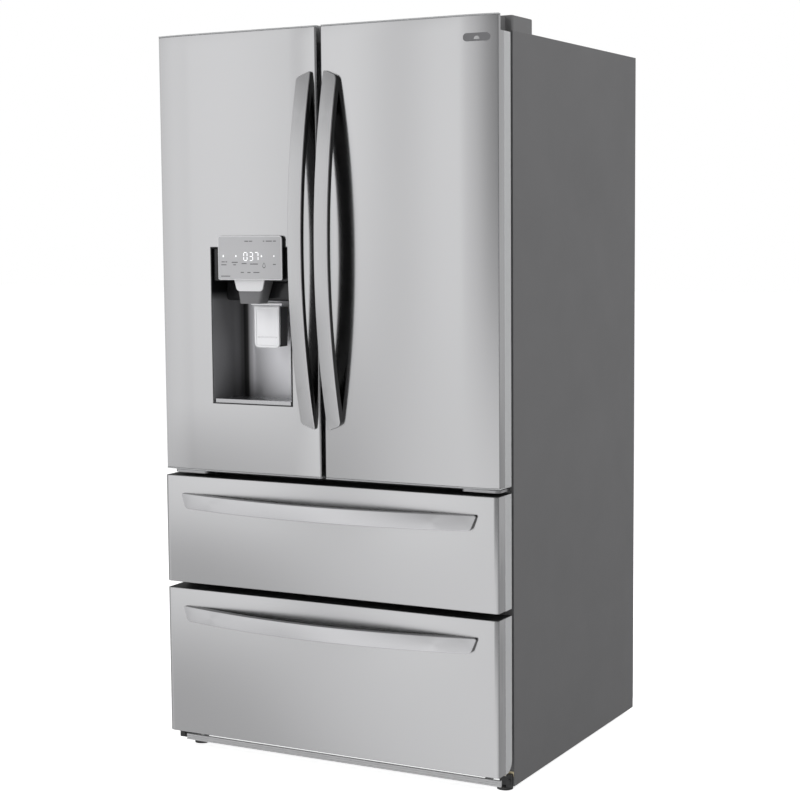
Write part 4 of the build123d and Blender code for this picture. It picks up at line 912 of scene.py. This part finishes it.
def makePanel():
    (left, right), (foot, top) = dispenser["panel"]
    front = depth(-dispenser["panelProud"])
    frame, step = dispenser["frameWidth"], dispenser["frameStep"] * mm

    def outline(inset):
        corners = ((left + inset, foot + inset), (left + inset, top - inset),
                   (right - inset, top - inset), (right - inset, foot + inset))
        radii = [max(1.0, radius - inset) for radius in dispenser["panelRound"]]
        return roundedOutline([spread(corner) for corner in corners], [radius * mm for radius in radii], 6)

    work = bmesh.new()
    rings = []
    profile = ((0, depth(-1.5)), (0, front + 1.6 * mm), (0.25, front + 0.7 * mm), (0.9, front),
               (frame, front), (frame + 0.3, front + step))
    for inset, y in profile:    # from the door outwards, then in over the frame
        rings.append([work.verts.new((x, y, z)) for x, z in outline(inset)])
    for facet in bridge(work, rings)[0]:
        facet.material_index = 1
    work.faces.new(rings[0]).material_index = 1
    work.faces.new(rings[-1]).material_index = 2
    mesh = meshFrom("panel", work)
    smoothByAngle(mesh, 40)
    addPiece("dispenserPanel", mesh, "left_door", "panel_silver", ["dispenser_panel"],
             ("panelFrame", "niche_dark", "panel_silver"))
    makeMarks(front + step)


def makeMarks(ground):
    white, dark = bmesh.new(), bmesh.new()
    y = (ground - 0.15 * mm, ground + 0.1 * mm)
    marks = panelMarks
    wide, tall = marks["digitSize"]
    stroke = marks["stroke"]
    for digit, x in marks["digits"]:
        for segment in segmentsOf[digit]:
            across, up, flat = segmentPlaces[segment]
            reach = (wide / 2 - stroke * 0.6) if flat else stroke / 2
            rise = stroke / 2 if flat else (tall / 4 - stroke * 0.6)
            centre = (x + marks["shift"] + across * wide, marks["digitLevel"] + up * tall / 2)
            corners = [spread((centre[0] + a * reach, centre[1] + b * rise))
                       for a, b in ((-1, -1), (-1, 1), (1, 1), (1, -1))]
            prism(white, roundedOutline(corners, [marks["corner"] * mm] * 4, 3), y)
    sides = marks["lightSides"]
    for x, radius in marks["lights"]:
        turns = [math.tau * step / sides for step in range(sides)]
        prism(white, [((x + marks["shift"] + radius * math.cos(turn)) * mm,
                       (marks["lightLevel"] + radius * marks["lightTall"] * math.sin(turn)) * mm)
                      for turn in turns], y)
    height = marks["dashHeight"]
    for left, level, length in (*marks["dashes"], marks["line"]):
        left += marks["shift"]
        right, top = left + length, level + height
        corners = [spread(corner) for corner in ((left, level), (left, top), (right, top), (right, level))]
        prism(dark, roundedOutline(corners, [marks["dashCorner"] * mm] * 4, 3), y)
    dropX, dropZ, dropSize = marks["drop"]
    sides = marks["dropSides"]
    turns = [math.tau * (step + 0.5) / sides for step in range(sides)]
    outer, inner = ([(dropX + marks["shift"] + size * math.sin(turn) * math.sin(turn / 2),
                      dropZ + size * marks["dropTall"] * math.cos(turn)) for turn in turns]
                    for size in (dropSize, dropSize * marks["dropWall"]))
    for here in range(sides):
        after = (here + 1) % sides
        prism(dark, [spread(point) for point in (outer[here], inner[here], inner[after], outer[after])], y)
    for name, work, finish in (("panelLights", white, "whiteLegend"), ("panelLegends", dark, "darkLegend")):
        addPiece(name, meshFrom(name, work), "left_door", "panel_silver", (), (finish,))


paddleShape = {
    "plate": ((-221, -150), (1016, 1117)), "front": 54.4, "thick": 5.5, "round": 11,
    "rim": 5, "groove": (1040, 1042.5), "grooveSide": 8, "grooveDepths": (0.7, 1.3),
    "bar": (-229, -142, 1122, 3.9), "barDepth": 57, "barEdge": 0.8,
    "block": ((-217, -150), (1019, 1114), 60, (30, 36)),
}


def makePaddle():
    shape = paddleShape
    (left, right), (foot, top) = shape["plate"]
    work = bmesh.new()
    front, back = depth(shape["front"]), depth(shape["front"] + shape["thick"])
    rings = []
    profile = ((0, back), (0, front + 1.2 * mm), (0.5, front + 0.3 * mm), (1.2, front),
               (shape["rim"], front), (shape["rim"] + 1.4, front + 1.0 * mm))
    for inset, y in profile:
        corners = ((left + inset, foot + inset), (left + inset, top - inset),
                   (right - inset, top - inset), (right - inset, foot + inset))
        radius = max(2.0, shape["round"] - inset) * mm
        outline = roundedOutline([spread(corner) for corner in corners], (radius, 2 * mm, 2 * mm, radius), 6)
        rings.append([work.verts.new((x, y, z)) for x, z in outline])
    bridge(work, rings)
    work.faces.new(rings[0])
    work.faces.new(rings[-1])
    low, high = shape["groove"]
    side, (near, far) = shape["grooveSide"], shape["grooveDepths"]
    roundBox(work, ((left + side) * mm, front + near * mm, low * mm),
             ((right - side) * mm, front + far * mm, high * mm), 0.3 * mm, 1, finishIndex=1)
    barLeft, barRight, level, radius = shape["bar"]
    middle = ((barLeft + barRight) / 2 * mm, depth(shape["barDepth"]), level * mm)
    bar = bmesh.ops.create_cone(work, cap_ends=True, segments=24, radius1=radius * mm, radius2=radius * mm,
                                depth=(barRight - barLeft) * mm,
                                matrix=Matrix.Translation(middle) @ Matrix.Rotation(math.pi / 2, 4, "Y"))
    rims = [edge for edge in dict.fromkeys(edge for vert in bar["verts"] for edge in vert.link_edges)
            if abs(edge.verts[0].co.x - edge.verts[1].co.x) < weldGap]
    bmesh.ops.bevel(work, geom=rims, offset=shape["barEdge"] * mm, segments=2, affect="EDGES", profile=0.5)
    (blockLeft, blockRight), (blockFoot, blockTop), start, depths = shape["block"]
    block = [(depth(start), blockFoot * mm), (depth(start + depths[0]), blockFoot * mm),
             (depth(start + depths[1]), blockTop * mm), (depth(start), blockTop * mm)]
    sides = [[work.verts.new((x * mm, y, z)) for y, z in block] for x in (blockLeft, blockRight)]
    made = [work.faces.new(sides[0]), work.faces.new(list(reversed(sides[1])))]
    for index in range(4):
        after = (index + 1) % 4
        made.append(work.faces.new((sides[0][index], sides[1][index], sides[1][after], sides[0][after])))
    for facet in made:
        facet.material_index = 1
    mesh = meshFrom("paddle", work)
    smoothByAngle(mesh)
    addPiece("dispenserPaddle", mesh, "dispenser_paddle", "paddle_silver", ["dispenser_paddle"],
             ("paddle_silver", "niche_dark"))


recoat("dispenserNiche", "dispenser_housing", "left_door", "niche_dark", ("dispenserWall", "niche_dark"),
       nicheSide, smooth=35)
makeSpout()
makePanel()
makePaddle()
print("dispenser made")

# ---- screws, grown by geometry nodes


def endTree(tree, given, made, geometry):
    real, painted = tree.nodes.new("GeometryNodeRealizeInstances"), tree.nodes.new("GeometryNodeSetMaterial")
    tree.links.new(geometry, real.inputs[0])
    tree.links.new(real.outputs[0], painted.inputs["Geometry"])
    tree.links.new(given.outputs["Finish"], painted.inputs["Material"])
    tree.links.new(painted.outputs[0], made.inputs["Geometry"])


def makeScrewTree():    # pan head screws at the corners of a grid
    tree, given, made = newTree("screwGrid", "GeometryNodeTree", [
        ("Place", "NodeSocketVector", (0, 0, 0)), ("Turn", "NodeSocketVector", (0, 0, 0)),
        ("Wide", "NodeSocketFloat", 0.5), ("Tall", "NodeSocketFloat", 0.5),
        ("Across", "NodeSocketInt", 2), ("Up", "NodeSocketInt", 2),
        ("Head", "NodeSocketFloat", 0.004), ("Seed", "NodeSocketInt", 7),
        ("Finish", "NodeSocketMaterial", None)], [("Geometry", "NodeSocketGeometry")])
    new, link = tree.nodes.new, tree.links.new
    grid = new("GeometryNodeMeshGrid")
    for label, socket in (("Wide", "Size X"), ("Tall", "Size Y"),
                          ("Across", "Vertices X"), ("Up", "Vertices Y")):
        link(given.outputs[label], grid.inputs[socket])
    head, sink = new("GeometryNodeMeshUVSphere"), new("GeometryNodeMeshCylinder")
    head.inputs["Segments"].default_value, head.inputs["Rings"].default_value = 14, 8
    link(given.outputs["Head"], head.inputs["Radius"])
    flat, cross = new("GeometryNodeTransform"), new("GeometryNodeTransform")
    parts = new("GeometryNodeJoinGeometry")
    flat.inputs["Scale"].default_value = (1, 1, 0.42)
    link(head.outputs["Mesh"], flat.inputs[0])
    sink.inputs["Vertices"].default_value = 6
    link(mathStep(tree, "MULTIPLY", given.outputs["Head"], 1.22), sink.inputs["Radius"])
    link(mathStep(tree, "MULTIPLY", given.outputs["Head"], 0.3), sink.inputs["Depth"])
    link(sink.outputs["Mesh"], cross.inputs[0])
    link(cross.outputs[0], parts.inputs[0])
    link(flat.outputs[0], parts.inputs[0])
    spin = new("FunctionNodeRandomValue")
    spin.data_type = "FLOAT_VECTOR"
    spin.inputs[0].default_value, spin.inputs[1].default_value = (0, 0, 0), (0, 0, math.tau)
    link(given.outputs["Seed"], spin.inputs["Seed"])
    points = new("GeometryNodeInstanceOnPoints")
    link(grid.outputs["Mesh"], points.inputs["Points"])
    link(parts.outputs[0], points.inputs["Instance"])
    link(spin.outputs[0], points.inputs["Rotation"])
    placed = new("GeometryNodeTransform")
    link(points.outputs[0], placed.inputs[0])
    link(given.outputs["Place"], placed.inputs["Translation"])
    link(given.outputs["Turn"], placed.inputs["Rotation"])
    endTree(tree, given, made, placed.outputs[0])
    return tree


def grow(name, tree, values, body, slotName, finishName):
    seedMesh = bpy.data.meshes.new(name + "Seed")
    holder = bpy.data.objects.new(name + "Seed", seedMesh)
    bpy.context.scene.collection.objects.link(holder)
    grower = holder.modifiers.new("grow", "NODES")
    grower.node_group = tree
    named = {item.name: item.identifier for item in tree.interface.items_tree if item.in_out == "INPUT"}
    for label, value in {**values, "Finish": finishes[finishName]}.items():
        grower[named[label]] = value
    ready = holder.evaluated_get(bpy.context.evaluated_depsgraph_get())
    mesh = bpy.data.meshes.new_from_object(ready)
    bpy.data.objects.remove(holder)
    mesh.materials.clear()
    return addPiece(name, mesh, body, slotName, (), (finishName,))


screwTree = makeScrewTree()
upright = (math.pi / 2, 0.0, 0.0)
screws = {"head": 0.0042, "sunk": 0.0004}
for name, (low, high), inset, count in (    # inset and count are across and up
        ("backScrews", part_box("back_panel"), (0.03, 0.04), (2, 7)),
        ("coverScrews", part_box("machine_cover"), (0.03, 0.02), (5, 2))):
    grow(name, screwTree, {"Place": (0, high.y - screws["sunk"], (low.z + high.z) / 2), "Turn": upright,
                           "Wide": high.x - low.x - inset[0], "Tall": high.z - low.z - inset[1],
                           "Across": count[0], "Up": count[1], "Head": screws["head"]},
         "cabinet", "galvanised", "screwSteel")
print("screws made")
